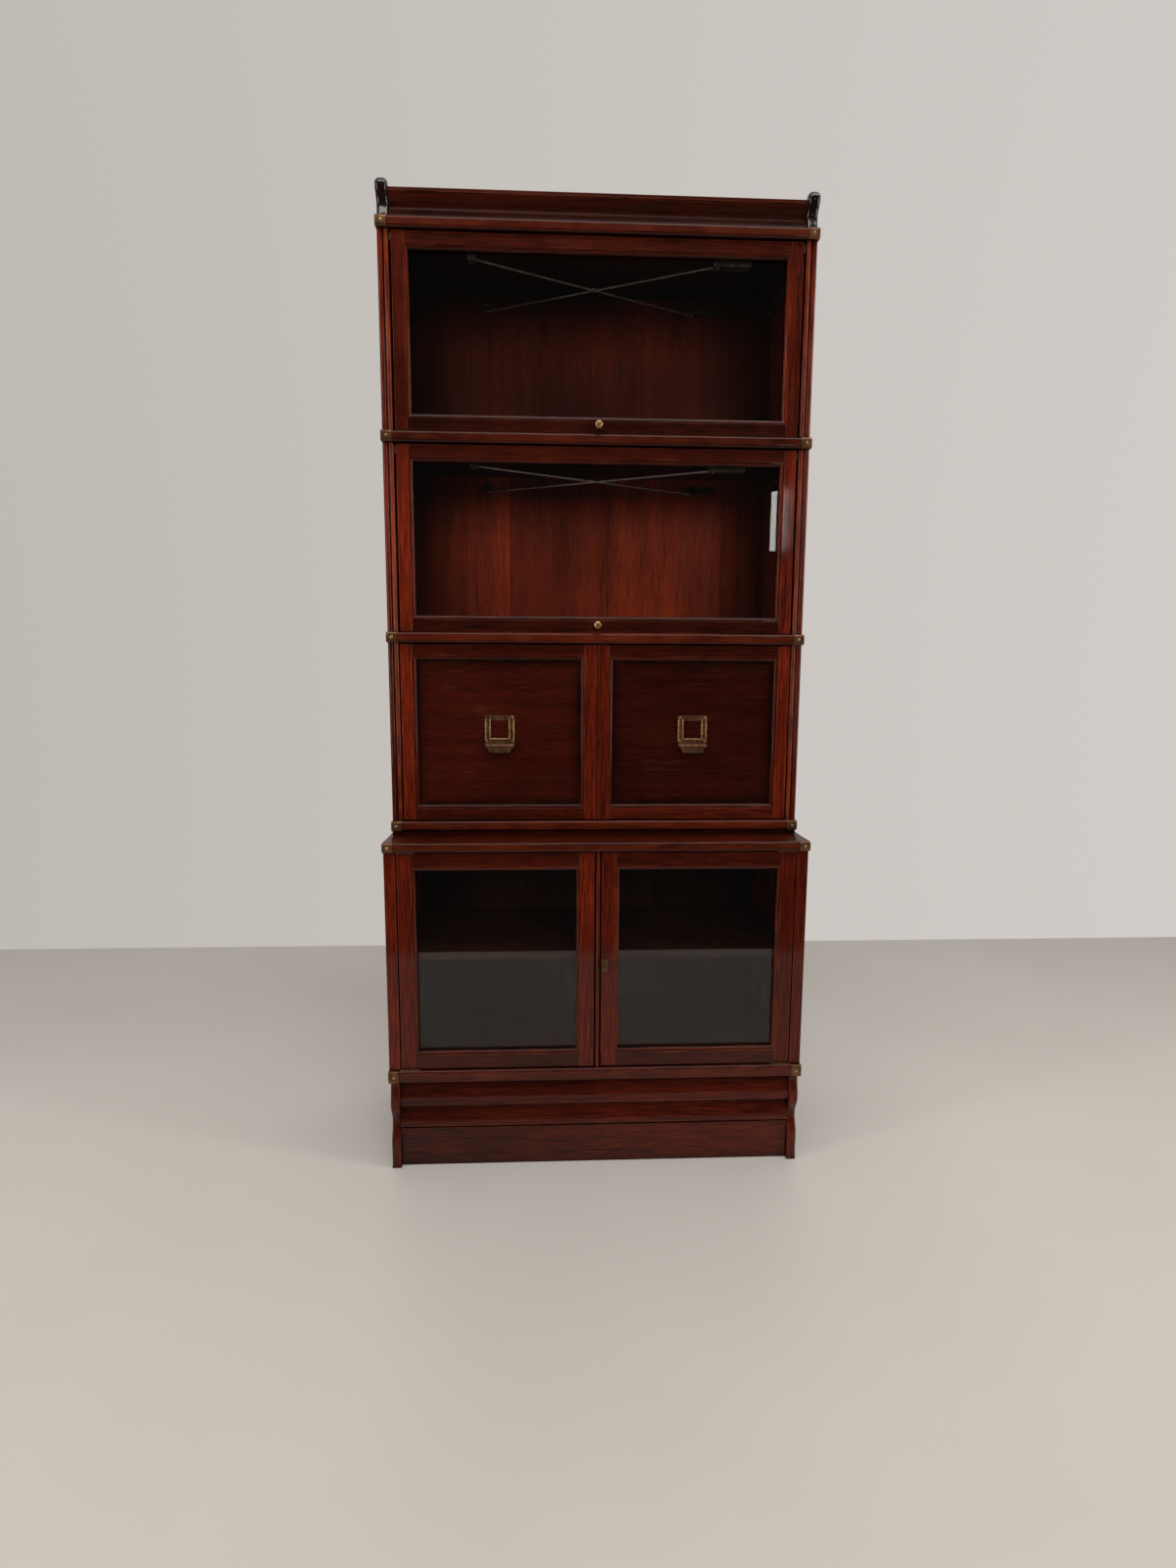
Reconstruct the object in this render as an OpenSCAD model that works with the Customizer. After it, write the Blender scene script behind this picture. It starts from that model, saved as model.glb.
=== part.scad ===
// Stacking glazed bookcase: a moulded plinth, a deep cupboard with two glazed doors under a
// projecting ledge, a section with two file drawers, two sections with lift-up glazed doors
// that run back over the books on an equalizer, and a coved cornice.
// X runs across, -Y is the front, Z is up. The origin is at floor level, at the centre.

/* [Overall] */
// Outside width of the upper sections
case_w = 864; // [760:1:1040]
// Depth of the upper sections, from the face of the posts to the back
case_d = 292; // [260:1:400]
// How far the cupboard stands forward of the upper sections
step_out = 84; // [40:1:150]
// How far each side of the cupboard stands out beyond the upper sections
side_step = 4.5; // [0:0.5:12]

/* [Heights] */
// Height of the plinth below its moulding
plinth_h = 196; // [165:1:260]
// Height of the moulding on top of the plinth
base_bead_h = 27; // [20:1:40]
// Clear height of the cupboard between its two mouldings
cupboard_h = 466.5; // [360:0.5:700]
// Thickness of the ledge
ledge_h = 20.5; // [16:0.5:32]
// Height of the riser between the ledge and the first upper moulding
riser_h = 7.5; // [2:0.5:20]
// Height of the moulding at the foot of each upper section
bead_h = 22; // [16:1:32]
// Clear height of each upper section between its mouldings
section_h = 372; // [300:1:480]
// Height of the cornice ends above the top moulding
cornice_h = 66.5; // [50:0.5:110]

/* [Boards] */
// Thickness of the upper ends
end_t = 20; // [14:1:28]
// Thickness of the cupboard ends
low_end_t = 22; // [16:1:30]
// Thickness of the back panels
back_t = 12; // [6:1:18]
// How far the reeded post on the front edge of each upper end stands in from the end
post_lip = 3; // [3:0.5:12]
// Depth of the reeded post
post_d = 21; // [14:1:24]
// How far the plain post on the front edge of each cupboard end stands in from the end
low_post_lip = 1.5; // [1:0.5:12]
// How far the mouldings stand forward of the posts
bead_out = 8; // [4:1:16]
// Rounding of the moulding's two front edges
bead_r = 6; // [3:1:7]

/* [Plinth] */
// Thickness of the shaped plinth ends
plinth_end_t = 20; // [14:1:28]
// Thickness of the moulded plinth front behind its flat face
plinth_front_t = 16; // [10:1:24]
// How far the flat of the plinth front lies behind the cupboard's face
plinth_set = 14; // [8:1:24]
// Height of the flat below the plinth front's moulding
plinth_flat_h = 84; // [50:1:96]

/* [Cornice] */
// Thickness of the shaped cornice ends
cornice_end_t = 24; // [16:1:30]
// Thickness of the coved cornice board at its thinnest
cornice_board_t = 9; // [6:1:16]
// Depth of the cove in the cornice board
cove_d = 12; // [6:1:16]
// How far the cornice board stops below its ends
cornice_drop = 16; // [8:1:24]

/* [Lift doors] */
// Thickness of the lift-up doors
door_t = 20; // [16:1:24]
// Gap between a lift-up door and each post
door_gap = 4; // [3.5:0.5:6]
// How far each door face lies behind the face of the posts
door_set = 1.5; // [1:0.5:3]
// Clearance above and below the doors and drawer fronts
door_play = 2; // [1.5:0.5:4]
// Width of the flat part of the door frames
frame_w = 24; // [18:1:40]
// Width of the moulding inside the door frames
mould_w = 8; // [5:1:12]
// Depth of the step that the moulding makes
mould_d = 5; // [3:1:7]
// Thickness of the glass
glass_t = 3; // [2:0.5:5]
// How far the glass and panels sit inside their rebates
glass_lap = 5; // [3:0.5:7]
// Clearance round glass and panels in their rebates
glass_play = 1; // [0.5:0.5:2]
// Radius of the lift-up doors' pull knobs
knob_r = 8; // [5:0.5:12]
// How far the knobs stand out from the doors
knob_out = 19; // [12:1:30]
// Distance of the lift-up doors' pivots behind their faces
lift_back = 6; // [5.5:0.5:7]

/* [Equalizer] */
// Distance of the arms' pins from the sides of the case when the door is forward
arm_inset = 192; // [150:1:220]
// Distance between the front and back pins when the door has run back
fold_gap = 6; // [5:1:60]
// Width of the equalizer arms
arm_w = 4.4; // [3:0.2:4.4]
// Thickness of the equalizer arms
arm_t = 1.6; // [1:0.1:2]
// Depth of the arms below the moulding above them
arm_drop = 38; // [34:1:60]
// Radius of the pins in the equalizer
pin_r = 1.5; // [1:0.1:2]
// Play of a pin in its slot, which takes up the error of the open pivot
slot_play = 3; // [2.8:0.1:4]
// Radius of a door's pivot pins
pivot_r = 2.5; // [2:0.5:3.5]
// Running clearance on the radius of each pivot
pivot_play = 0.05; // [0.02:0.01:0.1]
// Width of the tracks that the shoes run on
track_w = 4.5; // [3:0.5:4.5]
// Height of the tracks
track_h = 10; // [6:1:14]

/* [Cupboard doors] */
// Thickness of the cupboard doors
low_door_t = 22; // [16:1:26]
// Gap between a cupboard door and its post
low_door_gap = 2.4; // [2.4:0.1:4]
// Width of the flat part of the cupboard door frames
low_frame_w = 29; // [22:1:44]
// Width of the muntin between the cupboard doors
muntin_w = 9; // [6:1:16]
// Gap between each door and the muntin
muntin_gap = 3.2; // [3:0.1:5]
// Distance of the pivot from the outer edge of the door
pivot_in = 7; // [7:0.5:9]
// Distance of the pivot behind the face of the door
pivot_back = 5; // [4.5:0.5:6]
// Length of the pivot plates
plate_l = 38; // [26:1:50]
// Thickness of the pivot plates
plate_t = 1.4; // [1:0.1:1.6]
// Distance of the turn catch from the door's edge
catch_in = 7; // [6.5:0.5:14]
// Height of the turn catch above the floor of the cupboard
catch_z = 224; // [120:1:300]
// How far the turn catch's knob stands out from the door
catch_out = 15; // [10:1:20]
// Thickness of the adjustable shelf
shelf_t = 18; // [12:1:24]
// Height of the shelf above the cupboard floor
shelf_z = 226; // [120:1:300]

/* [Drawers] */
// Gap between the two drawer fronts
drawer_split = 3; // [2:0.5:6]
// Gap between a drawer front and its post
drawer_gap = 2; // [1.5:0.5:4]
// Thickness of the drawer box's sides
drawer_side_t = 12; // [8:1:16]
// Height of the drawer box
drawer_box_h = 250; // [150:1:280]
// Clearance between a drawer box and what is beside and behind it
drawer_play = 4; // [1.5:0.5:6]
// Thickness of the partition between the drawers
partition_t = 18; // [12:1:24]
// Height of the runners under the drawers
runner_h = 12; // [8:1:20]
// Thickness of the drawer panels
panel_t = 8; // [6:1:10]
// Width of the brass pulls
pull_w = 62; // [50:1:80]
// Height of the brass pulls
pull_h = 78; // [66:1:96]
// Side of the card window in the pulls
window_w = 37; // [24:1:40]

/* [Brasses] */
// Length of the corner brasses along the front
brass_w = 20; // [14:1:26]
// Length of the corner brasses along the side
brass_side = 32; // [20:1:45]
// Thickness of the corner brasses
brass_t = 1.2; // [0.8:0.1:2]
// Radius of the screw heads
screw_r = 3.6; // [2.5:0.1:5]
// Height of the screw heads
screw_h = 1.3; // [0.8:0.1:2]

/* [Hidden] */
$fn = 48;
eps = 0.01;
part_gap = 0.5;          // clear gap between plain moving faces
brass_edge = 0.6;        // how far the corner brasses stop short of a moulding's edges
half_w = case_w / 2;
low_half_w = half_w + side_step;
post_w = end_t + post_lip;
low_post_w = low_end_t + low_post_lip;
low_door_set = 1;        // face of the cupboard doors behind the face of the posts
total_d = case_d + step_out + max(bead_out + brass_t + screw_h, catch_out - low_door_set);
back_y = total_d / 2;                 // plane of the backs
upper_y = back_y - case_d;            // face of the upper posts
lower_y = upper_y - step_out;         // face of the cupboard
inner_y = back_y - back_t;            // face of the back panels
inner_x = half_w - end_t;             // inside of the upper ends
low_inner_x = low_half_w - low_end_t; // inside of the cupboard ends

cup_z = plinth_h + base_bead_h;       // floor level of the cupboard
ledge_z = cup_z + cupboard_h;         // underside of the ledge
stack_z = ledge_z + ledge_h;          // top of the ledge
pitch = bead_h + section_h;
function bead_z(i) = stack_z + riser_h + i * pitch;   // underside of moulding i
function open_z(i) = bead_z(i) + bead_h;              // floor of section i
crown_z = open_z(3);                                  // top of the top moulding
cornice_z = crown_z + cornice_h - cornice_drop;       // top of the cornice board

// Lift-up doors: section 1 is the middle one and section 2 the top one
door_half = half_w - post_w - door_gap;
door_y = upper_y + door_set;
door_back_y = door_y + door_t;
axis_y = door_y + lift_back;
lift_glass_y = door_y + 11;
function door_z0(i) = open_z(i) + door_play;
function door_z1(i) = bead_z(i + 1) - door_play;
// The pivots lie so far down that the door's square front corner clears what is above as it turns
swing = door_play - part_gap;
lift_drop = max(pivot_r + 4, (lift_back * lift_back - swing * swing) / (2 * swing));
function axis_z(i) = door_z1(i) - lift_drop;

// Equalizer: arm A turns on the case, arm B turns on the carrier
bar_t = 3;                            // thickness of the carrier's bar
bar_y = door_back_y + 2.5;            // front of the carrier's bar
tab_t = 2;                            // thickness of the brackets
tab_d = 17;                           // depth of the brackets
pin_front_y = bar_y + bar_t + tab_d / 2;
pin_back_y = inner_y - tab_d / 2;
arm_rise = pin_back_y - pin_front_y;
arm_span = case_w - 2 * arm_inset;
arm_l = sqrt(arm_span * arm_span + arm_rise * arm_rise);
arm_angle = atan(arm_rise / arm_span);
arm_a_x = -arm_span / 2;
arm_b_x = arm_a_x - 12;               // stands clear of the other pivot when folded
arm_step = 0.5;                       // gap between the two arms
tab_gap = 0.9;                        // gap between the arms and the brackets
eye_r = 4;                            // round ends of the arms
centre_r = pin_r + slot_play + 0.4;   // hole for the centre rivet
fold_x = sqrt(arm_l * arm_l - fold_gap * fold_gap) - arm_span; // travel of a pin in its slot
// Distance of the centre rivet from each arm's pivot
cross_shift = (arm_a_x - arm_b_x) * (1 + 1 / cos(arm_angle)) / 4;
cross_a = arm_l / 2 - cross_shift;
cross_b = arm_l / 2 + cross_shift;
function arm_z(i) = bead_z(i + 1) - arm_drop;
hanger_t = 2.4;
hanger_x = door_half + 0.8;
shoe_l = 18;
shoe_h = 14;                          // height of the shoes and the bar
shoe_play = 0.3;

// Cupboard doors
low_post_x = low_half_w - low_post_w;
low_door_x1 = low_post_x - low_door_gap;
low_door_x0 = muntin_w / 2 + muntin_gap;
low_door_y = lower_y + low_door_set;
low_door_z0 = cup_z + door_play;
low_door_z1 = ledge_z - door_play - 0.5;
pivot_x = low_door_x1 - pivot_in;
pivot_y = low_door_y + pivot_back;
low_pin_r = 2;
catch_x = low_door_x0 + catch_in;
catch_r = 2.2;                        // radius of the catch's spindle
low_glass_y = low_door_y + 12;
cup_front_y = low_door_y + low_door_t + 8;   // front of what stands behind the doors

// Drawers, in section 0
drawer_x1 = half_w - post_w - drawer_gap;
drawer_x0 = drawer_split / 2;
drawer_mid = (drawer_x0 + drawer_x1) / 2;
drawer_z0 = open_z(0) + door_play;
drawer_z1 = bead_z(1) - door_play;
box_x1 = half_w - post_w - drawer_play;
box_x0 = partition_t / 2 + drawer_play;
box_y1 = inner_y - drawer_play;
box_z0 = open_z(0) + runner_h + part_gap;
panel_set = 8;                        // face of the panel behind the face of the frame
panel_y = door_y + panel_set;
pull_z1 = (drawer_z0 + drawer_z1) / 2 + pull_h / 2 - 2;
pull_z0 = pull_z1 - pull_h;
plate_h = pull_h - 20;
pull_t = 1.5;                         // thickness of the pull's metal
hood_r = 13;                          // depth of the finger hood
hood_lip = 9;                         // upright part of the hood's front

MAHOGANY = [0.26, 0.06, 0.035];
DARK = [0.16, 0.04, 0.03];
BRASS = [0.55, 0.42, 0.2];
STEEL = [0.55, 0.54, 0.52];
GLASS = [0.1, 0.11, 0.11, 0.35];

// ---------- shapes that repeat ----------

module block(x, y, z) {
    translate([x[0], y[0], z[0]]) cube([x[1] - x[0], y[1] - y[0], z[1] - z[0]]);
}

// A piece and its twin on the other side of the case
module both_sides() {
    children();
    mirror([1, 0, 0]) children();
}

// Extrudes an outline drawn in Y and Z along X
module along_x(x0, x1) {
    translate([x0, 0, 0]) rotate([90, 0, 90]) linear_extrude(x1 - x0) children();
}

// A moulded board edge: two rounded corners on a flat nose, in Y and Z
module nose(face_y, back_y, z0, h, out, r) {
    front = face_y - out;
    for (z = [z0 + r, z0 + h - r]) translate([front + r, z]) circle(r);
    translate([front, z0 + r]) square([2 * r, h - 2 * r]);
    translate([front + r, z0]) square([back_y - front - r, h]);
}

// A smooth front edge through stations of [height, distance behind face_y], from the top down
function ease(a, b, t) = a + (b - a) * (1 - cos(180 * t)) / 2;
function wave(s, face_y, n = 6) = [for (k = [0 : len(s) - 2]) for (j = [0 : n - 1])
    [face_y + ease(s[k][1], s[k + 1][1], j / n), s[k][0] + (s[k + 1][0] - s[k][0]) * j / n]];

// A frame of four members with a stepped moulding and a rebate behind for glass or a panel.
// The frame lies in X and Z, its face is at y, and w is the width of the flat members.
module frame_cuts(x, y, z, t, w, fill_y) {
    m = w + mould_w;
    block([x[0] + m, x[1] - m], [y - 1, y + t + 1], [z[0] + m, z[1] - m]);
    block([x[0] + w, x[1] - w], [y - 1, y + mould_d], [z[0] + w, z[1] - w]);
    r = m - glass_lap - glass_play;
    block([x[0] + r, x[1] - r], [fill_y, y + t + 1], [z[0] + r, z[1] - r]);
}

// The glass or panel for such a frame
module frame_fill(x, z, w, fill_t, fill_y) {
    e = w + mould_w - glass_lap;
    block([x[0] + e, x[1] - e], [fill_y, fill_y + fill_t], [z[0] + e, z[1] - e]);
}

// ---------- plinth ----------

// Shaped end: a bulge under the moulding, a hollow, and an upright foot
module plinth_ends() {
    stations = [[plinth_h, 8], [plinth_h - 55, 0], [plinth_h - 98, 16], [plinth_h - 138, 3], [0, 3]];
    color(MAHOGANY) both_sides() along_x(low_half_w - plinth_end_t, low_half_w)
        polygon(concat(wave(stations, lower_y), [[lower_y + 3, 0], [back_y, 0], [back_y, plinth_h]]));
}

// Front between the ends: a bold bulge, a cove that flares out, a groove and a flat
module plinth_front() {
    f = plinth_flat_h;
    bulge = [[plinth_h, 20], [plinth_h - 46, 7], [plinth_h - 56, 7]];
    cove = [[plinth_h - 58, 21], [f + 8, 9]];
    face = lower_y + plinth_set;
    color(MAHOGANY) along_x(plinth_end_t - low_half_w, low_half_w - plinth_end_t)
        polygon(concat(wave(bulge, lower_y), [[lower_y + 7, plinth_h - 56]],
            wave(cove, lower_y), [[lower_y + 9, f + 8], [lower_y + 9, f + 6],
            [face + 4, f + 6], [face + 4, f], [face, f], [face, 0],
            [face + plinth_front_t, 0], [face + plinth_front_t, plinth_h]]));
}

module plinth_back() {
    color(DARK) block([plinth_end_t - low_half_w, low_half_w - plinth_end_t],
        [back_y - plinth_front_t, back_y], [0, plinth_h]);
}

module plinth_top() {
    color(MAHOGANY) along_x(-low_half_w, low_half_w)
        nose(lower_y, back_y, plinth_h, base_bead_h, bead_out, bead_r);
}

// ---------- cupboard ----------

module cupboard_end() {
    block([low_inner_x, low_half_w], [lower_y, back_y], [cup_z, ledge_z]);
    block([low_post_x, low_half_w], [lower_y, lower_y + low_door_t + 1], [cup_z, ledge_z]);
}

module cupboard_end_left() {
    color(MAHOGANY) mirror([1, 0, 0]) cupboard_end();
}

module cupboard_end_right() {
    color(MAHOGANY) cupboard_end();
}

module cupboard_floor() {
    color(DARK) block([-low_inner_x, low_inner_x], [cup_front_y, inner_y], [cup_z, cup_z + 12]);
}

module cupboard_back() {
    color(DARK) block([-low_inner_x, low_inner_x], [inner_y, back_y], [cup_z, ledge_z]);
}

// Slim upright between the doors, with a rounded nose
module cupboard_muntin() {
    r = muntin_w / 2;
    color(MAHOGANY) translate([0, lower_y - 1 + r, cup_z]) linear_extrude(cupboard_h) {
        circle(r);
        translate([-r, 0]) square([muntin_w, low_door_t - r]);
    }
}

module cupboard_shelf() {
    color(DARK) block([1 - low_inner_x, low_inner_x - 1], [cup_front_y + 6, inner_y - 2],
        [cup_z + shelf_z, cup_z + shelf_z + shelf_t]);
}

// Four pegs under the shelf, driven into the ends as far as their faces
module shelf_pegs() {
    color(BRASS) both_sides() for (y = [cup_front_y + 50, inner_y - 50])
        translate([low_inner_x - 9, y, cup_z + shelf_z - 3]) rotate([0, 90, 0]) cylinder(r = 3, h = 9);
}

module ledge() {
    color(MAHOGANY) along_x(-low_half_w, low_half_w)
        nose(lower_y, back_y, ledge_z, ledge_h, bead_out, bead_r);
}

// ---------- upper sections ----------

// An end board with a post of two reeds on its front edge
module section_ends(i) {
    reed_r = post_w / 4;
    both_sides() translate([0, 0, open_z(i)]) linear_extrude(section_h) {
        for (k = [1, 3]) translate([half_w - k * reed_r, upper_y + reed_r]) circle(reed_r);
        translate([half_w - post_w, upper_y + reed_r]) square([post_w, post_d - reed_r]);
        translate([inner_x, upper_y + reed_r]) square([end_t, case_d - reed_r]);
    }
}

module section_floor(i) {
    along_x(-half_w, half_w) nose(upper_y, back_y, bead_z(i), bead_h, bead_out, bead_r);
}

module section_back(i) {
    block([-inner_x, inner_x], [inner_y, back_y], [open_z(i), bead_z(i + 1)]);
}

module drawer_case_ends() { color(MAHOGANY) section_ends(0); }
module drawer_case_back() { color(DARK) section_back(0); }
module middle_ends() { color(MAHOGANY) section_ends(1); }
module middle_floor() { color(MAHOGANY) section_floor(1); }
module middle_back() { color(DARK) section_back(1); }
module top_ends() { color(MAHOGANY) section_ends(2); }
module top_floor() { color(MAHOGANY) section_floor(2); }
module top_back() { color(DARK) section_back(2); }

// The lowest floor also carries the riser that lifts it off the ledge
module drawer_case_floor() {
    color(MAHOGANY) {
        section_floor(0);
        block([-half_w, half_w], [upper_y, back_y], [stack_z, bead_z(0) + bead_h / 2]);
    }
}

module drawer_partition() {
    color(DARK) block([-partition_t / 2, partition_t / 2],
        [door_back_y + 2, inner_y], [open_z(0), bead_z(1)]);
}

// A runner under each side of each drawer box
module drawer_runners() {
    w = drawer_side_t + 6;
    color(DARK) both_sides() for (x = [partition_t / 2, inner_x - w])
        block([x, x + w], [door_back_y + 2, inner_y], [open_z(0), open_z(0) + runner_h]);
}

// ---------- cornice ----------

module cornice_top() {
    color(MAHOGANY) section_floor(3);
}

// Coved board between the ends, with a fillet along its top edge
module cornice_board() {
    fillet_z = cornice_z - 7;
    stations = [[fillet_z, 0], [(crown_z + fillet_z) / 2, cove_d], [crown_z, 2]];
    back = upper_y + cove_d + cornice_board_t;
    color(MAHOGANY) along_x(cornice_end_t - half_w, half_w - cornice_end_t)
        polygon(concat([[upper_y - 3, cornice_z], [upper_y - 3, fillet_z]],
            wave(stations, upper_y), [[upper_y + 2, crown_z], [back, crown_z], [back, cornice_z]]));
}

// Ends that lean forward to a domed ear and run back along the sides
module cornice_ends() {
    ear_r = 14;
    top = crown_z + cornice_h;
    lean = [[top - ear_r, -12], [crown_z + 22, 3], [crown_z, 0]];
    color(MAHOGANY) both_sides() along_x(half_w - cornice_end_t, half_w) {
        translate([upper_y - 12 + ear_r, top - ear_r]) circle(ear_r);
        polygon(concat(wave(lean, upper_y), [[upper_y, crown_z], [back_y, crown_z],
            [back_y, cornice_z], [upper_y - 12 + 2 * ear_r, cornice_z],
            [upper_y - 12 + 2 * ear_r, top - ear_r]]));
    }
}

// ---------- brasses on the mouldings' corners ----------

// [underside, height, half width, face] of each moulding that has brasses
BEADS = concat([[plinth_h, base_bead_h, low_half_w, lower_y], [ledge_z, ledge_h, low_half_w, lower_y]],
    [for (i = [0 : 3]) [bead_z(i), bead_h, half_w, upper_y]]);

module corner_brasses() {
    t = brass_t;
    color(BRASS) both_sides() for (b = BEADS) difference() {
        intersection() {
            along_x(b[2] - brass_w, b[2] + t)
                nose(b[3], b[3] + brass_side, b[0] - t, b[1] + 2 * t, bead_out + t, bead_r + t);
            block([0, b[2] + brass_side], [lower_y - brass_side, back_y],
                [b[0] + brass_edge, b[0] + b[1] - brass_edge]);
        }
        along_x(b[2] - brass_w - 1, b[2])
            nose(b[3], b[3] + brass_side + 1, b[0], b[1], bead_out, bead_r);
    }
}

// One screw through the front and one through the side of each brass
module corner_screws() {
    color(BRASS) both_sides() for (b = BEADS) {
        translate([b[2] - brass_w / 2, b[3] - bead_out - brass_t, b[0] + b[1] / 2])
            rotate([90, 0, 0]) cylinder(r = screw_r, h = screw_h);
        translate([b[2] + brass_t, b[3] + brass_side / 2, b[0] + b[1] / 2])
            rotate([0, 90, 0]) cylinder(r = screw_r, h = screw_h);
    }
}

// ---------- cupboard doors ----------

module low_frame() {
    x = [low_door_x0, low_door_x1];
    z = [low_door_z0, low_door_z1];
    difference() {
        block(x, [low_door_y, low_door_y + low_door_t], z);
        frame_cuts(x, low_door_y, z, low_door_t, low_frame_w, low_glass_y);
        for (s = [low_door_z0 - eps, low_door_z1 - plate_t])
            block([low_door_x1 - plate_l, low_door_x1 + 1], [low_door_y + 1, low_door_y + 13],
                [s, s + plate_t + eps]);
        for (s = [low_door_z0 - 1, low_door_z1 - 11]) translate([pivot_x, pivot_y, s])
            cylinder(r = low_pin_r + 1, h = 12);
    }
}

// A thin plate let into the door, bored for the pivot pin
module low_plates() {
    difference() {
        for (s = [low_door_z0, low_door_z1 - plate_t])
            block([low_door_x1 - plate_l, low_door_x1], [low_door_y + 1, low_door_y + 13], [s, s + plate_t]);
        translate([pivot_x, pivot_y, low_door_z0 - 1])
            cylinder(r = low_pin_r + pivot_play, h = low_door_z1 - low_door_z0 + 2);
    }
}

module low_glass() {
    frame_fill([low_door_x0, low_door_x1], [low_door_z0, low_door_z1], low_frame_w, glass_t, low_glass_y);
}

module left_door_frame() { color(MAHOGANY) mirror([1, 0, 0]) low_frame(); }
module left_door_glass() { color(GLASS) mirror([1, 0, 0]) low_glass(); }
module left_door_plates() { color(BRASS) mirror([1, 0, 0]) low_plates(); }
module right_door_glass() { color(GLASS) low_glass(); }
module right_door_plates() { color(BRASS) low_plates(); }

// The right frame is also bored for the catch's spindle
module right_door_frame() {
    color(MAHOGANY) difference() {
        low_frame();
        translate([catch_x, low_door_y - 1, cup_z + catch_z]) rotate([-90, 0, 0])
            cylinder(r = catch_r + pivot_play, h = low_door_t + 2);
    }
}

// Plates on the mouldings above and below, each with a fixed pin that enters its door
module pivot_plates() {
    y0 = lower_y - bead_out + 3;
    t = door_play - part_gap;
    color(BRASS) both_sides() {
        for (s = [[cup_z, cup_z + t], [ledge_z - t, ledge_z]])
            block([low_door_x1 - plate_l, low_post_x - part_gap], [y0, low_door_y + 13], s);
        translate([pivot_x, pivot_y, cup_z]) cylinder(r = low_pin_r, h = 11);
        translate([pivot_x, pivot_y, ledge_z - 11]) cylinder(r = low_pin_r, h = 11);
    }
}

// Flat knob, spindle and a tongue that hangs behind the door until it is turned
module turn_catch() {
    back = low_door_y + low_door_t;
    color(BRASS) translate([catch_x, 0, cup_z + catch_z]) {
        translate([0, low_door_y - catch_out + 1, 0]) rotate([-90, 0, 0])
            cylinder(r = catch_r, h = catch_out + low_door_t + 2);
        block([-2, 2], [low_door_y - catch_out, low_door_y - 4], [-8, 8]);
        block([-4, 4], [back + part_gap, back + part_gap + 2.5], [-22, 4]);
    }
}

module catch_plate() {
    color(BRASS) difference() {
        block([catch_x - 6, catch_x + 6], [low_door_y - brass_t, low_door_y],
            [cup_z + catch_z - 12, cup_z + catch_z + 12]);
        translate([catch_x, low_door_y - brass_t - 1, cup_z + catch_z]) rotate([-90, 0, 0])
            cylinder(r = catch_r + pivot_play, h = brass_t + 2);
    }
}

// ---------- drawers ----------

module drawer_frame() {
    x = [drawer_x0, drawer_x1];
    z = [drawer_z0, drawer_z1];
    difference() {
        block(x, [door_y, door_back_y], z);
        frame_cuts(x, door_y, z, door_t, frame_w, panel_y);
    }
}

module drawer_panel() {
    frame_fill([drawer_x0, drawer_x1], [drawer_z0, drawer_z1], frame_w, panel_t, panel_y);
}

// Sides, back, front lining and bottom as one glued box
module drawer_box() {
    z1 = box_z0 + drawer_box_h;
    difference() {
        block([box_x0, box_x1], [door_back_y, box_y1], [box_z0, z1]);
        block([box_x0 + drawer_side_t, box_x1 - drawer_side_t],
            [door_back_y + drawer_side_t, box_y1 - drawer_side_t], [box_z0 + 9, z1 + 1]);
    }
}

// A card frame with raised side channels above a hooded finger pull
module drawer_pull() {
    half = pull_w / 2;
    hood_half = half - 6;
    foot = pull_z1 - plate_h;
    win_z = pull_z1 - (plate_h - window_w) / 2;
    translate([drawer_mid, panel_y, 0]) {
        difference() {
            block([-half, half], [-pull_t, 0], [foot, pull_z1]);
            block([-window_w / 2, window_w / 2], [-pull_t - 1, 1], [win_z - window_w, win_z]);
        }
        for (s = [-1, 1]) block([s * (half - 4) - 3, s * (half - 4) + 3], [-2 * pull_t, eps - pull_t],
            [foot + 9, pull_z1 - 8]);
        difference() {
            hood(hood_r, hood_half, pull_z0);
            hood(hood_r - pull_t, hood_half - pull_t, pull_z0 - 1);
        }
    }
}

// A quarter round over an upright lip, as wide as 2 * half
module hood(r, half, z0) {
    spring_z = pull_z0 + hood_lip;
    block([-half, half], [-r, 0], [z0, spring_z]);
    intersection() {
        translate([-half, 0, spring_z]) rotate([0, 90, 0]) cylinder(r = r, h = 2 * half);
        block([-half, half], [-r, 0], [spring_z - eps, spring_z + r]);
    }
}

module left_drawer_frame() { color(MAHOGANY) mirror([1, 0, 0]) drawer_frame(); }
module left_drawer_panel() { color(MAHOGANY) mirror([1, 0, 0]) drawer_panel(); }
module left_drawer_box() { color(DARK) mirror([1, 0, 0]) drawer_box(); }
module left_drawer_pull() { color(BRASS) mirror([1, 0, 0]) drawer_pull(); }
module right_drawer_frame() { color(MAHOGANY) drawer_frame(); }
module right_drawer_panel() { color(MAHOGANY) drawer_panel(); }
module right_drawer_box() { color(DARK) drawer_box(); }
module right_drawer_pull() { color(BRASS) drawer_pull(); }

// ---------- lift-up doors ----------

// The top edge is rounded at the back, so that it clears the carrier's bar as the door turns
module lift_frame(i) {
    x = [-door_half, door_half];
    r = 7;
    difference() {
        along_x(x[0], x[1]) {
            translate([door_y, door_z0(i)]) square([door_t, door_z1(i) - r - door_z0(i)]);
            translate([door_y, door_z1(i) - 2 * r]) square([door_t - r, 2 * r]);
            translate([door_back_y - r, door_z1(i) - r]) circle(r);
        }
        frame_cuts(x, door_y, [door_z0(i), door_z1(i)], door_t, frame_w, lift_glass_y);
        both_sides() translate([door_half - 12, axis_y, axis_z(i)]) rotate([0, 90, 0])
            cylinder(r = pivot_r + pivot_play, h = 13);
    }
}

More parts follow.
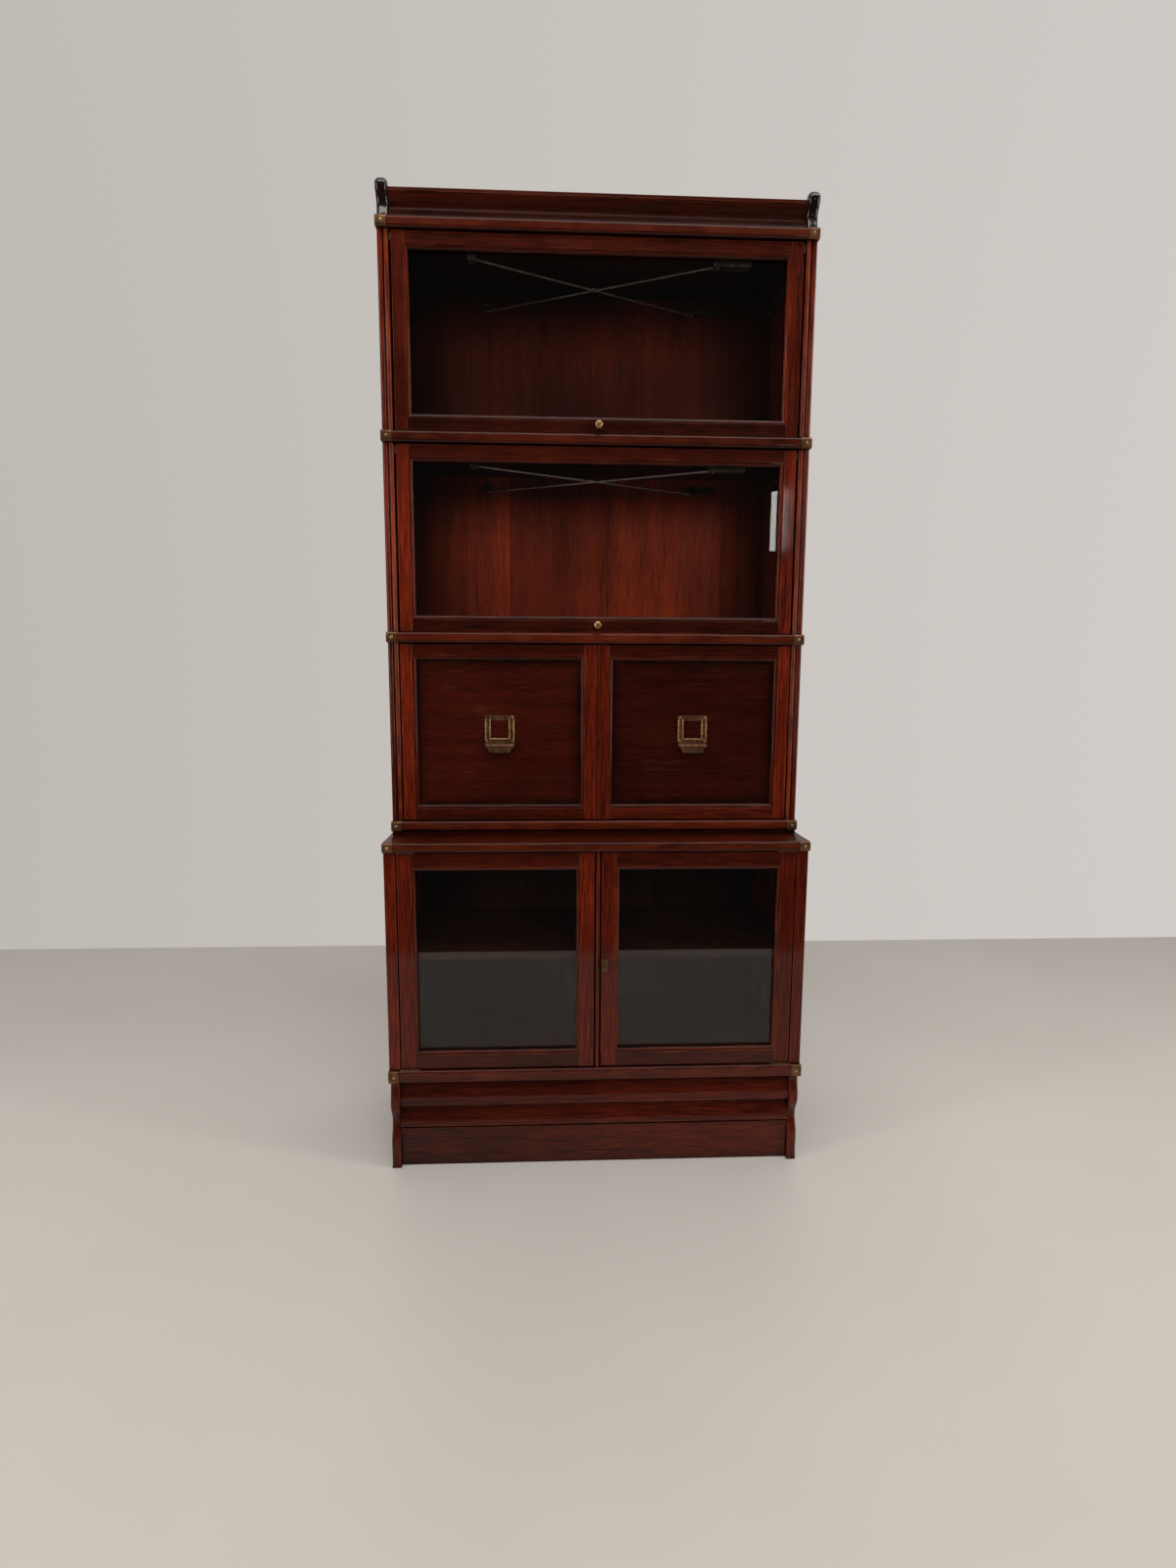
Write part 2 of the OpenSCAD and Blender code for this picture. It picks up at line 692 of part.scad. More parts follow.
module lift_glass(i) {
    frame_fill([-door_half, door_half], [door_z0(i), door_z1(i)], frame_w, glass_t, lift_glass_y);
}

// A turned knob on a small rose
module lift_knob(i) {
    translate([0, door_y, door_z0(i) + 14]) rotate([90, 0, 0]) {
        cylinder(r = knob_r * 0.8, h = 2);
        cylinder(r = knob_r * 0.4, h = knob_out - knob_r);
        translate([0, 0, knob_out - knob_r]) sphere(knob_r);
    }
}

// The carrier: a bar behind the door with pivot pins, shoes that run on the tracks, and two
// brackets for the equalizer, one with a pin for arm B and one slotted for the pin of arm A
module carrier(i) {
    z = axis_z(i);
    z0 = arm_z(i) - tab_gap - tab_t;
    slot_x = arm_span / 2;
    span = [z - shoe_h / 2, z + shoe_h / 2];
    block([-hanger_x - hanger_t, hanger_x + hanger_t], [bar_y, bar_y + bar_t], span);
    both_sides() {
        block([hanger_x, hanger_x + hanger_t], [axis_y - 4, bar_y + bar_t], span);
        block([hanger_x, inner_x - 0.6], [bar_y, bar_y + shoe_l], span);
        translate([door_half - 11, axis_y, z]) rotate([0, 90, 0]) cylinder(r = pivot_r, h = 12);
    }
    for (x = [[arm_b_x - 8, arm_b_x + 8], [slot_x - 10, slot_x + fold_x + 10]]) {
        block(x, [bar_y, bar_y + tab_t], [z0, z]);
        difference() {
            block(x, [bar_y, bar_y + bar_t + tab_d], [z0, z0 + tab_t]);
            slot(slot_x, pin_front_y, z0);
        }
    }
    translate([arm_b_x, pin_front_y, z0 + tab_t - eps])
        cylinder(r = pin_r, h = tab_gap + 2 * arm_t + arm_step + 0.6);
    translate([arm_b_x, pin_front_y, z0 + tab_t - eps])
        cylinder(r = pin_r + 0.7, h = tab_gap + arm_t + arm_step - 0.1);
}

// The slot that an arm's pin slides along
module slot(x, y, z) {
    r = pin_r + slot_play;
    for (s = [x - 1, x + fold_x + 1]) translate([s, y, z - 1]) cylinder(r = r, h = tab_t + 2);
    block([x - 1, x + fold_x + 1], [y - r, y + r], [z - 1, z + tab_t + 1]);
}

// Brackets on the back panel: a pin for arm A and a slot for the pin of arm B, above the arms
module arm_brackets() {
    color(STEEL) for (i = [1, 2]) {
        z0 = arm_z(i) + 2 * arm_t + arm_step + tab_gap + 0.2;
        slot_x = arm_b_x + arm_span;
        for (x = [[arm_a_x - 8, arm_a_x + 8], [slot_x - 10, slot_x + fold_x + 10]]) {
            block(x, [inner_y - tab_t, inner_y], [z0, z0 + 16]);
            difference() {
                block(x, [inner_y - tab_d, inner_y], [z0, z0 + tab_t]);
                slot(slot_x, pin_back_y, z0);
            }
        }
        translate([arm_a_x, pin_back_y, arm_z(i) - 0.4]) cylinder(r = pin_r, h = z0 - arm_z(i) + 0.5);
        translate([arm_a_x, pin_back_y, arm_z(i) + arm_t + 0.1])
            cylinder(r = pin_r + 0.7, h = z0 - arm_z(i) - arm_t - 0.1 + eps);
    }
}

// A flat arm along +X from its pivot, with a round eye at each end
module arm_blank() {
    block([0, arm_l], [-arm_w / 2, arm_w / 2], [0, arm_t]);
    for (x = [0, arm_l]) translate([x, 0, 0]) cylinder(r = eye_r, h = arm_t);
}

module pivot_hole() {
    translate([0, 0, -1]) cylinder(r = pin_r + pivot_play, h = arm_t + 2);
}

// Arm A turns on the case and carries the centre rivet and a pin that hangs in the carrier's slot
module arm_a(i) {
    translate([arm_a_x, pin_back_y, arm_z(i)]) rotate([0, 0, -arm_angle]) {
        difference() {
            arm_blank();
            pivot_hole();
        }
        translate([cross_a, 0, arm_t - eps]) cylinder(r = pin_r, h = arm_step + arm_t + 0.5);
        translate([arm_l, 0, -tab_gap - tab_t - 0.5]) cylinder(r = pin_r, h = tab_gap + tab_t + 0.5 + eps);
    }
}

// Arm B turns on the carrier, passes over arm A, and its pin stands up in the bracket's slot
module arm_b(i) {
    translate([arm_b_x, pin_front_y, arm_z(i) + arm_t + arm_step]) rotate([0, 0, arm_angle]) {
        difference() {
            union() {
                arm_blank();
                translate([cross_b, 0, 0]) cylinder(r = centre_r + 2.4, h = arm_t);
            }
            pivot_hole();
            translate([cross_b, 0, -1]) cylinder(r = centre_r, h = arm_t + 2);
        }
        translate([arm_l, 0, arm_t - eps]) cylinder(r = pin_r, h = tab_gap + 0.2 + tab_t + 0.5);
    }
}

// Tracks on the ends of both sections, just under the shoes
module door_tracks() {
    color(STEEL) both_sides() for (i = [1, 2]) {
        top = axis_z(i) - shoe_h / 2 - shoe_play;
        block([inner_x - track_w, inner_x], [upper_y + post_d, inner_y], [top - track_h, top]);
    }
}

module middle_door_frame() { color(MAHOGANY) lift_frame(1); }
module middle_door_glass() { color(GLASS) lift_glass(1); }
module middle_door_knob() { color(BRASS) lift_knob(1); }
module middle_carrier() { color(STEEL) carrier(1); }
module middle_arm_a() { color(STEEL) arm_a(1); }
module middle_arm_b() { color(STEEL) arm_b(1); }
module top_door_frame() { color(MAHOGANY) lift_frame(2); }
module top_door_glass() { color(GLASS) lift_glass(2); }
module top_door_knob() { color(BRASS) lift_knob(2); }
module top_carrier() { color(STEEL) carrier(2); }
module top_arm_a() { color(STEEL) arm_a(2); }
module top_arm_b() { color(STEEL) arm_b(2); }

plinth_ends();
plinth_front();
plinth_back();
plinth_top();
cupboard_end_left();
cupboard_end_right();
cupboard_floor();
cupboard_back();
cupboard_muntin();
cupboard_shelf();
shelf_pegs();
ledge();
drawer_case_ends();
drawer_case_floor();
drawer_case_back();
drawer_partition();
drawer_runners();
middle_ends();
middle_floor();
middle_back();
top_ends();
top_floor();
top_back();
door_tracks();
arm_brackets();
cornice_top();
cornice_board();
cornice_ends();
corner_brasses();
corner_screws();
pivot_plates();
left_door_frame();
left_door_glass();
left_door_plates();
right_door_frame();
right_door_glass();
right_door_plates();
turn_catch();
catch_plate();
left_drawer_frame();
left_drawer_panel();
left_drawer_box();
left_drawer_pull();
right_drawer_frame();
right_drawer_panel();
right_drawer_box();
right_drawer_pull();
middle_door_frame();
middle_door_glass();
middle_door_knob();
middle_carrier();
middle_arm_a();
middle_arm_b();
top_door_frame();
top_door_glass();
top_door_knob();
top_carrier();
top_arm_a();
top_arm_b();
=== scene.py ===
import random
from math import asin, cos, pi, radians, sin

import bmesh
import bpy
from mathutils import Matrix, Vector


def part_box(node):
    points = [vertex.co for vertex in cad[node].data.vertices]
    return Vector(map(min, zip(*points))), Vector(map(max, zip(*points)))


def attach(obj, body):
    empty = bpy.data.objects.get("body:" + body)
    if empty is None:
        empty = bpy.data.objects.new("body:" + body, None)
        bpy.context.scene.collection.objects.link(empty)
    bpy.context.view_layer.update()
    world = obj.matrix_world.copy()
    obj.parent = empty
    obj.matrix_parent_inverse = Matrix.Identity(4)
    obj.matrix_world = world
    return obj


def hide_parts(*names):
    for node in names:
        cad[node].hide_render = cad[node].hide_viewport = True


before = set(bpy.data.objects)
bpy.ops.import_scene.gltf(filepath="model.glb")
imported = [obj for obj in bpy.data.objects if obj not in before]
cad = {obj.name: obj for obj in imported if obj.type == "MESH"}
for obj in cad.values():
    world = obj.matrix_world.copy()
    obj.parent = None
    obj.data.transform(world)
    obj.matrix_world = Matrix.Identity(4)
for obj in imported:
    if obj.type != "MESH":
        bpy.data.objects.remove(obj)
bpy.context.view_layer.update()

MM = 0.001

# ---------------------------------------------------------------- camera
# A wide lens at chest height in front of the case, turned a little to the
# right and tipped down, so the uprights lean in towards the floor.
EYE = Vector((-100.66, -1827.33, 1053.71)) * MM
YAW, PITCH, ROLL = 0.0478, 0.1354, 0.0050

ahead = Vector((sin(YAW), cos(YAW), 0))
across = Vector((cos(YAW), -sin(YAW), 0))
up = Vector((0, 0, 1))
sight = ahead * cos(PITCH) - up * sin(PITCH)
lift = up * cos(PITCH) + ahead * sin(PITCH)
right = across * cos(ROLL) + lift * sin(ROLL)
top = lift * cos(ROLL) - across * sin(ROLL)

lens = bpy.data.cameras.new("camera")
lens.sensor_width = 36
lens.lens = 18.875
lens.clip_start = 0.05
camera = bpy.data.objects.new("camera", lens)
bpy.context.scene.collection.objects.link(camera)
camera.matrix_world = Matrix.Translation(EYE) @ Matrix((right, top, -sight)).transposed().to_4x4()
bpy.context.scene.camera = camera

# ---------------------------------------------------------------- floor and light
# A pale painted floor from just ahead of the camera to the wall, and a pale wall
# that only the camera sees. Light and gloss see a dim room in its place.
FLOOR_X, FLOOR_FRONT, FLOOR_BACK = 5.0, -1.525, 1.28
FLOOR_Z = -0.5 * MM


def linear(code):
    """An sRGB colour such as "#c8c2ba" as a linear red, green, blue and alpha."""
    part = [int(code[i:i + 2], 16) / 255 for i in (1, 3, 5)]
    return tuple(c / 12.92 if c <= 0.04045 else ((c + 0.055) / 1.055) ** 2.4 for c in part) + (1,)


def add(tree, kind, inputs=None, **settings):
    """Adds a node. inputs gives a value, or another node's output, for a socket's name or number."""
    made = tree.nodes.new(kind)
    for key, value in settings.items():
        setattr(made, key, value)
    for key, value in (inputs or {}).items():
        if isinstance(value, bpy.types.NodeSocket):
            tree.links.new(value, made.inputs[key])
        else:
            made.inputs[key].default_value = value
    return made


def material(name):
    """An empty node material and its output node."""
    made = bpy.data.materials.new(name)
    made.use_nodes = True
    made.node_tree.nodes.clear()
    return made, made.node_tree, add(made.node_tree, "ShaderNodeOutputMaterial")


# Satin floor paint, its tone drifting over half a metre
floor_paint, tree, out = material("floor_paint")
place = add(tree, "ShaderNodeTexCoord").outputs["Object"]
mottle = add(tree, "ShaderNodeTexNoise", {"Vector": place, "Scale": 1.6, "Detail": 5}).outputs[0]
paint = add(tree, "ShaderNodeMix",
            {0: mottle, 6: linear("#b7b3ad"), 7: linear("#c4c0bb")}, data_type="RGBA")
skin = add(tree, "ShaderNodeBsdfPrincipled",
           {"Base Color": paint.outputs[2], "Roughness": 0.45, "IOR": 1.45})
tree.links.new(skin.outputs[0], out.inputs[0])

slab = bmesh.new()
slab.faces.new([slab.verts.new((x, y, FLOOR_Z)) for x, y in (
    (-FLOOR_X, FLOOR_FRONT), (FLOOR_X, FLOOR_FRONT), (FLOOR_X, FLOOR_BACK), (-FLOOR_X, FLOOR_BACK))])
floor_mesh = bpy.data.meshes.new("floor")
slab.to_mesh(floor_mesh)
slab.free()
floor_mesh.materials.append(floor_paint)
floor = bpy.data.objects.new("floor", floor_mesh)
bpy.context.scene.collection.objects.link(floor)

world = bpy.data.worlds.new("studio")
bpy.context.scene.world = world
world.use_nodes = True
tree = world.node_tree
tree.nodes.clear()
heading = add(tree, "ShaderNodeTexCoord").outputs["Generated"]
heading = add(tree, "ShaderNodeSeparateXYZ", {0: heading}).outputs
wall_shade = add(tree, "ShaderNodeMapRange", {0: heading[0], 1: -0.6, 2: 0.6})
wall = add(tree, "ShaderNodeMix",
           {0: wall_shade.outputs[0], 6: linear("#bdb8b2"), 7: linear("#d0cbc6")}, data_type="RGBA")
overhead = add(tree, "ShaderNodeMapRange", {0: heading[2], 1: 0.5, 2: 0.9, 3: 0.04, 4: 0.6})
rear = add(tree, "ShaderNodeMapRange", {0: heading[1], 1: -0.1, 2: 0.6, 3: 0.0, 4: 0.45})
glow = add(tree, "ShaderNodeMath", {0: overhead.outputs[0], 1: rear.outputs[0]}, operation="ADD")
seen = add(tree, "ShaderNodeBackground", {0: wall.outputs[2], 1: 1.0})
room = add(tree, "ShaderNodeBackground", {0: linear("#fffaf4"), 1: glow.outputs[0]})
ray = add(tree, "ShaderNodeLightPath").outputs["Is Camera Ray"]
both = add(tree, "ShaderNodeMixShader", {0: ray, 1: room.outputs[0], 2: seen.outputs[0]})
add(tree, "ShaderNodeOutputWorld", {0: both.outputs[0]})

# Each lamp: place, point it faces, sides, watts, and whether it shows in gloss
for name, at, towards, sides, watts, glossy in (
        ("lamp_over", (0.2, -1.0, 3.3), (0, -0.2, 0), (3.2, 0.6), 30, True),
        ("lamp_front", (0.3, -4.6, 2.4), (0, 0, 1.1), (3.4, 1.8), 118, False),
        ("lamp_left", (-2.6, -1.5, 1.7), (0, 0, 1.0), (0.35, 2.4), 26, True),
        ("lamp_right", (2.7, -1.2, 1.7), (0, 0, 1.0), (0.35, 2.4), 30, True),
        ("lamp_window", (0.87, -1.9, 1.69), (0.4, 0, 1.3), (0.06, 0.24), 0.4, True)):
    lamp = bpy.data.lights.new(name, "AREA")
    lamp.shape = "RECTANGLE"
    lamp.size, lamp.size_y = sides
    lamp.energy = watts
    lamp.color = linear("#fffcf8")[:3]
    holder = bpy.data.objects.new(name, lamp)
    bpy.context.scene.collection.objects.link(holder)
    holder.visible_glossy = glossy
    holder.location = at
    holder.rotation_euler = (Vector(towards) - Vector(at)).to_track_quat("-Z", "Y").to_euler()
bpy.context.scene.view_settings.view_transform = "Standard"

# ---------------------------------------------------------------- plinth
# Mahogany boards, stained dark red and French polished. The ends are sawn to a
# bulge, a hollow and a foot; the front is run with a bulge over a flared cove.
LOW_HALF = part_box("plinth_top")[1].x
BACK_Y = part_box("plinth_ends")[1].y
LOWER_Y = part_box("cupboard_end_left")[0].y
PLINTH_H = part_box("plinth_front")[1].z
PLINTH_END_T, PLINTH_END_R = 20 * MM, 5.5 * MM
PLINTH_FLAT_H = 84 * MM


def polished_mahogany(name, grain, dark, middle, light, worn, film=0.38, sheen=0.07, cracks=0.0):
    """French-polished mahogany with its grain along axis grain: 0, 1 or 2.
    A shellac film over open pores gives a deep gloss that ripples a little. It is nearly
    black where its shade, dirt and wear attribute is high, partly dirt and partly painted shade,
    and with worn also in corners as painted shade; it is rubbed to worn, a paler red, on proud
    edges. With no worn, edges and corners stay plain. film and sheen are the film's weight and
    roughness, and cracks is how plain its cracks are."""
    made, tree, out = material(name)
    place = add(tree, "ShaderNodeTexCoord").outputs["Object"]
    board_no = add(tree, "ShaderNodeAttribute", attribute_name="board").outputs["Fac"]
    shift = add(tree, "ShaderNodeVectorMath",
                {0: board_no, 1: (3.1, 1.7, 2.3), 2: place}, operation="MULTIPLY_ADD")
    stretch = [1.0, 1.0, 1.0]
    stretch[grain] = 0.04
    fibre = add(tree, "ShaderNodeMapping", {"Vector": shift.outputs[0], "Scale": stretch}).outputs[0]
    # Figure about 25 mm wide and 600 mm long, and streaks 2.5 mm wide
    figure = add(tree, "ShaderNodeTexNoise",
                 {"Vector": fibre, "Scale": 40, "Detail": 4, "Roughness": 0.55, "Distortion": 0.3}).outputs[0]
    streak = add(tree, "ShaderNodeTexNoise",
                 {"Vector": fibre, "Scale": 400, "Detail": 4, "Roughness": 0.65}).outputs[0]
    # Pores drawn 1.2 mm wide, three times their real width, so that they show
    pore = add(tree, "ShaderNodeTexNoise", {"Vector": fibre, "Scale": 830, "Detail": 1}).outputs[0]
    pores = add(tree, "ShaderNodeMapRange", {0: pore, 1: 0.60, 2: 0.70}).outputs[0]
    tone = add(tree, "ShaderNodeMapRange", {0: figure, 1: 0.30, 2: 0.60}).outputs[0]
    body = add(tree, "ShaderNodeMix",
               {0: tone, 6: linear(dark), 7: linear(middle)}, data_type="RGBA").outputs[2]
    fine = add(tree, "ShaderNodeMapRange", {0: streak, 1: 0.42, 2: 0.66, 4: 0.7}).outputs[0]
    body = add(tree, "ShaderNodeMix", {0: fine, 6: body, 7: linear(light)}, data_type="RGBA").outputs[2]
    shade = add(tree, "ShaderNodeMath", {0: pores, 1: 0.7}, operation="MULTIPLY").outputs[0]
    body = add(tree, "ShaderNodeMix", {0: shade, 6: body, 7: linear("#0e0302")}, data_type="RGBA").outputs[2]
    if cracks:
        # Fine cracks in the film along the grain, pale with wax, in patches 150 mm wide
        run = add(tree, "ShaderNodeTexNoise", {"Vector": fibre, "Scale": 60, "Detail": 2}).outputs[0]
        off = add(tree, "ShaderNodeMath", {0: run, 1: 0.5, 2: 0.0028}, operation="COMPARE").outputs[0]
        where = add(tree, "ShaderNodeTexNoise", {"Vector": shift.outputs[0], "Scale": 7, "Detail": 2}).outputs[0]
        where = add(tree, "ShaderNodeMapRange", {0: where, 1: 0.48, 2: 0.62, 4: cracks}).outputs[0]
        off = add(tree, "ShaderNodeMath", {0: off, 1: where}, operation="MULTIPLY").outputs[0]
        body = add(tree, "ShaderNodeMix", {0: off, 6: body, 7: linear("#6a4638")}, data_type="RGBA").outputs[2]
    # Boards differ by up to nearly a half, and the stain is uneven over 300 mm
    chance = add(tree, "ShaderNodeTexWhiteNoise", {"W": board_no}, noise_dimensions="1D").outputs[0]
    board_tone = add(tree, "ShaderNodeMapRange", {0: chance, 3: 0.6, 4: 1.15}).outputs[0]
    stain = add(tree, "ShaderNodeTexNoise", {"Vector": place, "Scale": 3.2, "Detail": 2}).outputs[0]
    stain_tone = add(tree, "ShaderNodeMapRange", {0: stain, 1: 0.35, 2: 0.65, 3: 0.72, 4: 1.18}).outputs[0]
    value = add(tree, "ShaderNodeMath", {0: board_tone, 1: stain_tone}, operation="MULTIPLY").outputs[0]
    body = add(tree, "ShaderNodeHueSaturation", {"Value": value, "Color": body}).outputs[0]
    patch = add(tree, "ShaderNodeTexNoise", {"Vector": place, "Scale": 17, "Detail": 4}).outputs[0]
    # The shade, dirt and wear attribute: above 0 partly dirt and partly painted shade, below 0 rubbed
    shade_and_grime = add(tree, "ShaderNodeAttribute", attribute_name="shade_dirt_wear").outputs["Fac"]
    if worn:
        # Rubbed edges: where the rounded normal leaves the face's own, broken up over 60 mm
        soft = add(tree, "ShaderNodeBevel", {"Radius": 2.2 * MM}, samples=4).outputs[0]
        face = add(tree, "ShaderNodeNewGeometry").outputs["Normal"]
        flat = add(tree, "ShaderNodeVectorMath", {0: soft, 1: face}, operation="DOT_PRODUCT").outputs["Value"]
        edge = add(tree, "ShaderNodeMapRange", {0: flat, 1: 0.985, 2: 0.86, 4: 1.0}).outputs[0]
        rub = add(tree, "ShaderNodeMapRange", {0: patch, 1: 0.38, 2: 0.62, 3: 0.1, 4: 0.85}).outputs[0]
        # Below 0 the attribute rubs the wood paler, partly wear and partly a painted highlight
        wear_and_painted_highlight = add(tree, "ShaderNodeMath", {0: shade_and_grime, 1: -1.0}, operation="MULTIPLY").outputs[0]
        edge = add(tree, "ShaderNodeMath", {0: edge, 1: wear_and_painted_highlight}, operation="MAXIMUM").outputs[0]
        rubbed = add(tree, "ShaderNodeMath", {0: edge, 1: rub}, operation="MULTIPLY").outputs[0]
        body = add(tree, "ShaderNodeMix", {0: rubbed, 6: body, 7: linear(worn)}, data_type="RGBA").outputs[2]
        # Painted shade in the corners and recesses, over 24 mm, broken up in patches
        corner = add(tree, "ShaderNodeAmbientOcclusion", {"Distance": 24 * MM}, samples=4).outputs["AO"]
        painted_corner_shade = add(tree, "ShaderNodeMapRange", {0: corner, 1: 0.34, 2: 0.97, 3: 0.95, 4: 0.0}).outputs[0]
        patchiness = add(tree, "ShaderNodeMapRange", {0: patch, 1: 0.30, 2: 0.60, 3: 1.0, 4: 0.65}).outputs[0]
        shade_and_grime = add(tree, "ShaderNodeMath", {0: shade_and_grime, 1: patchiness}, operation="MULTIPLY").outputs[0]
        shade_and_grime = add(tree, "ShaderNodeMath", {0: shade_and_grime, 1: painted_corner_shade}, operation="MAXIMUM").outputs[0]
    # Painted nearly black where painted shade and dirt are
    body = add(tree, "ShaderNodeMix", {0: shade_and_grime, 6: body, 7: linear("#080201")}, data_type="RGBA").outputs[2]
    ripple = add(tree, "ShaderNodeTexNoise", {"Vector": fibre, "Scale": 26, "Detail": 2}).outputs[0]
    dips = add(tree, "ShaderNodeMath", {0: pores, 1: -0.10, 2: ripple}, operation="MULTIPLY_ADD").outputs[0]
    relief = add(tree, "ShaderNodeBump", {"Height": dips, "Strength": 0.15, "Distance": 0.6 * MM}).outputs[0]
    gloss = add(tree, "ShaderNodeMapRange", {0: patch, 1: 0.3, 2: 0.7, 3: 0.30, 4: 0.46}).outputs[0]
    skin = add(tree, "ShaderNodeBsdfPrincipled",
               {"Base Color": body, "Roughness": gloss, "IOR": 1.5, "Specular IOR Level": 0.06, "Coat Weight": film,
                "Coat Roughness": sheen, "Coat IOR": 1.52, "Normal": relief, "Coat Normal": relief})
    tree.links.new(skin.outputs[0], out.inputs[0])
    return made


# By the way the grain runs: across, from front to back, upright. Boards lying across are painted darker, as shade
# for how their grain takes the light
polished = [
    polished_mahogany("french_polished_mahogany_across", 0, "#1e0503", "#3c0f06", "#5e1f0c", "#964824"),
    polished_mahogany("french_polished_mahogany_back", 1, "#2c0a04", "#451207", "#62200f", "#964c28"),
    polished_mahogany("french_polished_mahogany_upright", 2, "#2c0804", "#501406", "#7c270e", "#a5522b")]


def board(work, axis, start, end, outline, grain, number=0.0, shade_dirt_wear=None):
    """A closed board whose outline, in the two other axes, runs along axis from start to end.
    start and end are one value, or one for each corner where an end is mitred. grain picks its
    material and number its own figure. The last argument is how dark each corner of the outline
    is, from 0 to 1, partly dirt and partly painted shade, or below 0 how far its stain is rubbed away."""
    shade_dirt_wear_layer = work.verts.layers.float.get("shade_dirt_wear") or work.verts.layers.float.new("shade_dirt_wear")

    def ring(stop):
        stops = stop if isinstance(stop, list) else [stop] * len(outline)
        made = [work.verts.new(p[:axis] + (s,) + p[axis:]) for p, s in zip(outline, stops)]
        for vertex, dark in zip(made, shade_dirt_wear or []):
            vertex[shade_dirt_wear_layer] = dark
        return made
    numbers = work.faces.layers.float.get("board") or work.faces.layers.float.new("board")
    near, far = ring(start), ring(end)
    sides = [(near[i - 1], near[i], far[i], far[i - 1]) for i in range(len(near))]
    for corners in [near[::-1], far] + sides:
        face = work.faces.new(corners)
        face.material_index = grain
        face[numbers] = number


def joinery(name, work, materials, arris=0.6):
    """The boards in work as one object, with their edges eased by arris, in mm."""
    bmesh.ops.recalc_face_normals(work, faces=work.faces)
    mesh = bpy.data.meshes.new(name)
    work.to_mesh(mesh)
    work.free()
    for each in materials:
        mesh.materials.append(each)
    mesh.shade_smooth()
    mesh.set_sharp_from_angle(angle=radians(32))
    made = bpy.data.objects.new(name, mesh)
    bpy.context.scene.collection.objects.link(made)
    if arris:
        eased = made.modifiers.new("arris", "BEVEL")
        eased.width = arris * MM
        eased.segments = 2
        eased.limit_method = "ANGLE"
        eased.angle_limit = radians(38)
        eased.harden_normals = True
    return made


def wave(stations, face, steps=16):
    """A smooth front edge through stations of height and distance behind face, in mm, as (y, z)."""
    line = []
    for (z0, d0), (z1, d1) in zip(stations, stations[1:]):
        for k in range(steps):
            t = k / steps
            depth = d0 + (d1 - d0) * (1 - cos(pi * t)) / 2
            line.append((face + depth * MM, (z0 + (z1 - z0) * t) * MM))
    return line


def rect(a0, a1, b0, b1):
    """The four corners of a plain board's outline."""
    return [(a0, b0), (a1, b0), (a1, b1), (a0, b1)]


def sweep(angle, steps):
    """Angles from 0 to angle in equal steps."""
    return [angle * k / steps for k in range(steps + 1)]


def bullnosed(work, x0, x1, outline, rounded, radius, grain, number):
    """A board between x0 and x1. Both edges are rounded over along the outline's first
    corners, rounded of them, and fade to square at either end of that run."""
    numbers = work.faces.layers.float.get("board") or work.faces.layers.float.new("board")
    area = sum(a[0] * b[1] - b[0] * a[1] for a, b in zip(outline, outline[1:] + outline[:1]))
    turn = 1 if area > 0 else -1
    inward = []
    for i, point in enumerate(outline):
        along = Vector(outline[(i + 1) % len(outline)]) - Vector(outline[i - 1])
        fade = min(1, i / 2, (rounded - i) / 2) if i <= rounded else 0
        inward.append(Vector((-along.y, along.x)).normalized() * turn * fade)
    steps = [(radius * (1 - cos(a)), radius * (1 - sin(a))) for a in sweep(pi / 2, 6)]
    stops = [(x0 + u, d) for u, d in steps] + [(x1 - u, d) for u, d in steps[::-1]]
    if x1 < x0:
        stops = [(x0 - u, d) for u, d in steps] + [(x1 + u, d) for u, d in steps[::-1]]
    rings = [[work.verts.new((x, p[0] + n.x * d, p[1] + n.y * d)) for p, n in zip(outline, inward)]
             for x, d in stops]
    corners = [rings[0][::-1], rings[-1]]
    corners += [(a[i - 1], a[i], b[i], b[i - 1]) for a, b in zip(rings, rings[1:]) for i in range(len(a))]
    for each in corners:
        face = work.faces.new(each)
        face.material_index = grain
        face[numbers] = number


height = PLINTH_H / MM
side_edge = wave([(height, 8), (height - 55, 0), (height - 98, 16), (height - 138, 3), (0, 3)], LOWER_Y)
side_edge += [(LOWER_Y + 3 * MM, 0), (BACK_Y, 0), (BACK_Y, PLINTH_H)]
work = bmesh.new()
for side in (-1, 1):
    bullnosed(work, side * (LOW_HALF - PLINTH_END_T), side * LOW_HALF, side_edge,
              len(side_edge) - 3, PLINTH_END_R, 2, side)
plinth_ends = joinery("plinth_shaped_ends", work, polished, 0)
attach(plinth_ends, "case")
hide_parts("plinth_ends")

# The front from the top down: bulge, cove, fillet, then the flat board below
flat = PLINTH_FLAT_H / MM
face_edge = wave([(height, 20), (height - 46, 7), (height - 56, 7)], LOWER_Y)
face_edge += [(LOWER_Y + 7 * MM, (height - 56) * MM)]
face_edge += wave([(height - 58, 21), (flat + 8, 9)], LOWER_Y)
face_edge += [(LOWER_Y + y * MM, z * MM) for y, z in (
    (9, flat + 8), (9, flat + 6), (18, flat + 6), (18, flat), (14, flat), (14, 0), (30, 0), (30, height))]
work = bmesh.new()
board(work, 0, PLINTH_END_T - LOW_HALF, LOW_HALF - PLINTH_END_T, face_edge, 0, 0.4)
plinth_front = joinery("plinth_moulded_front", work, polished, 0.8)
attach(plinth_front, "case")
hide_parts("plinth_front")

# ---------------------------------------------------------------- mouldings and ledge
# Each section stands on a board whose front edge stands proud with a rounded
# nose. The ledge over the cupboard is the widest; the lowest floor has a riser.
BEAD_OUT, BEAD_R = 8 * MM, 6 * MM
RISER_H = 7.5 * MM
UPPER_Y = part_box("middle_ends")[0].y
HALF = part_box("middle_floor")[1].x


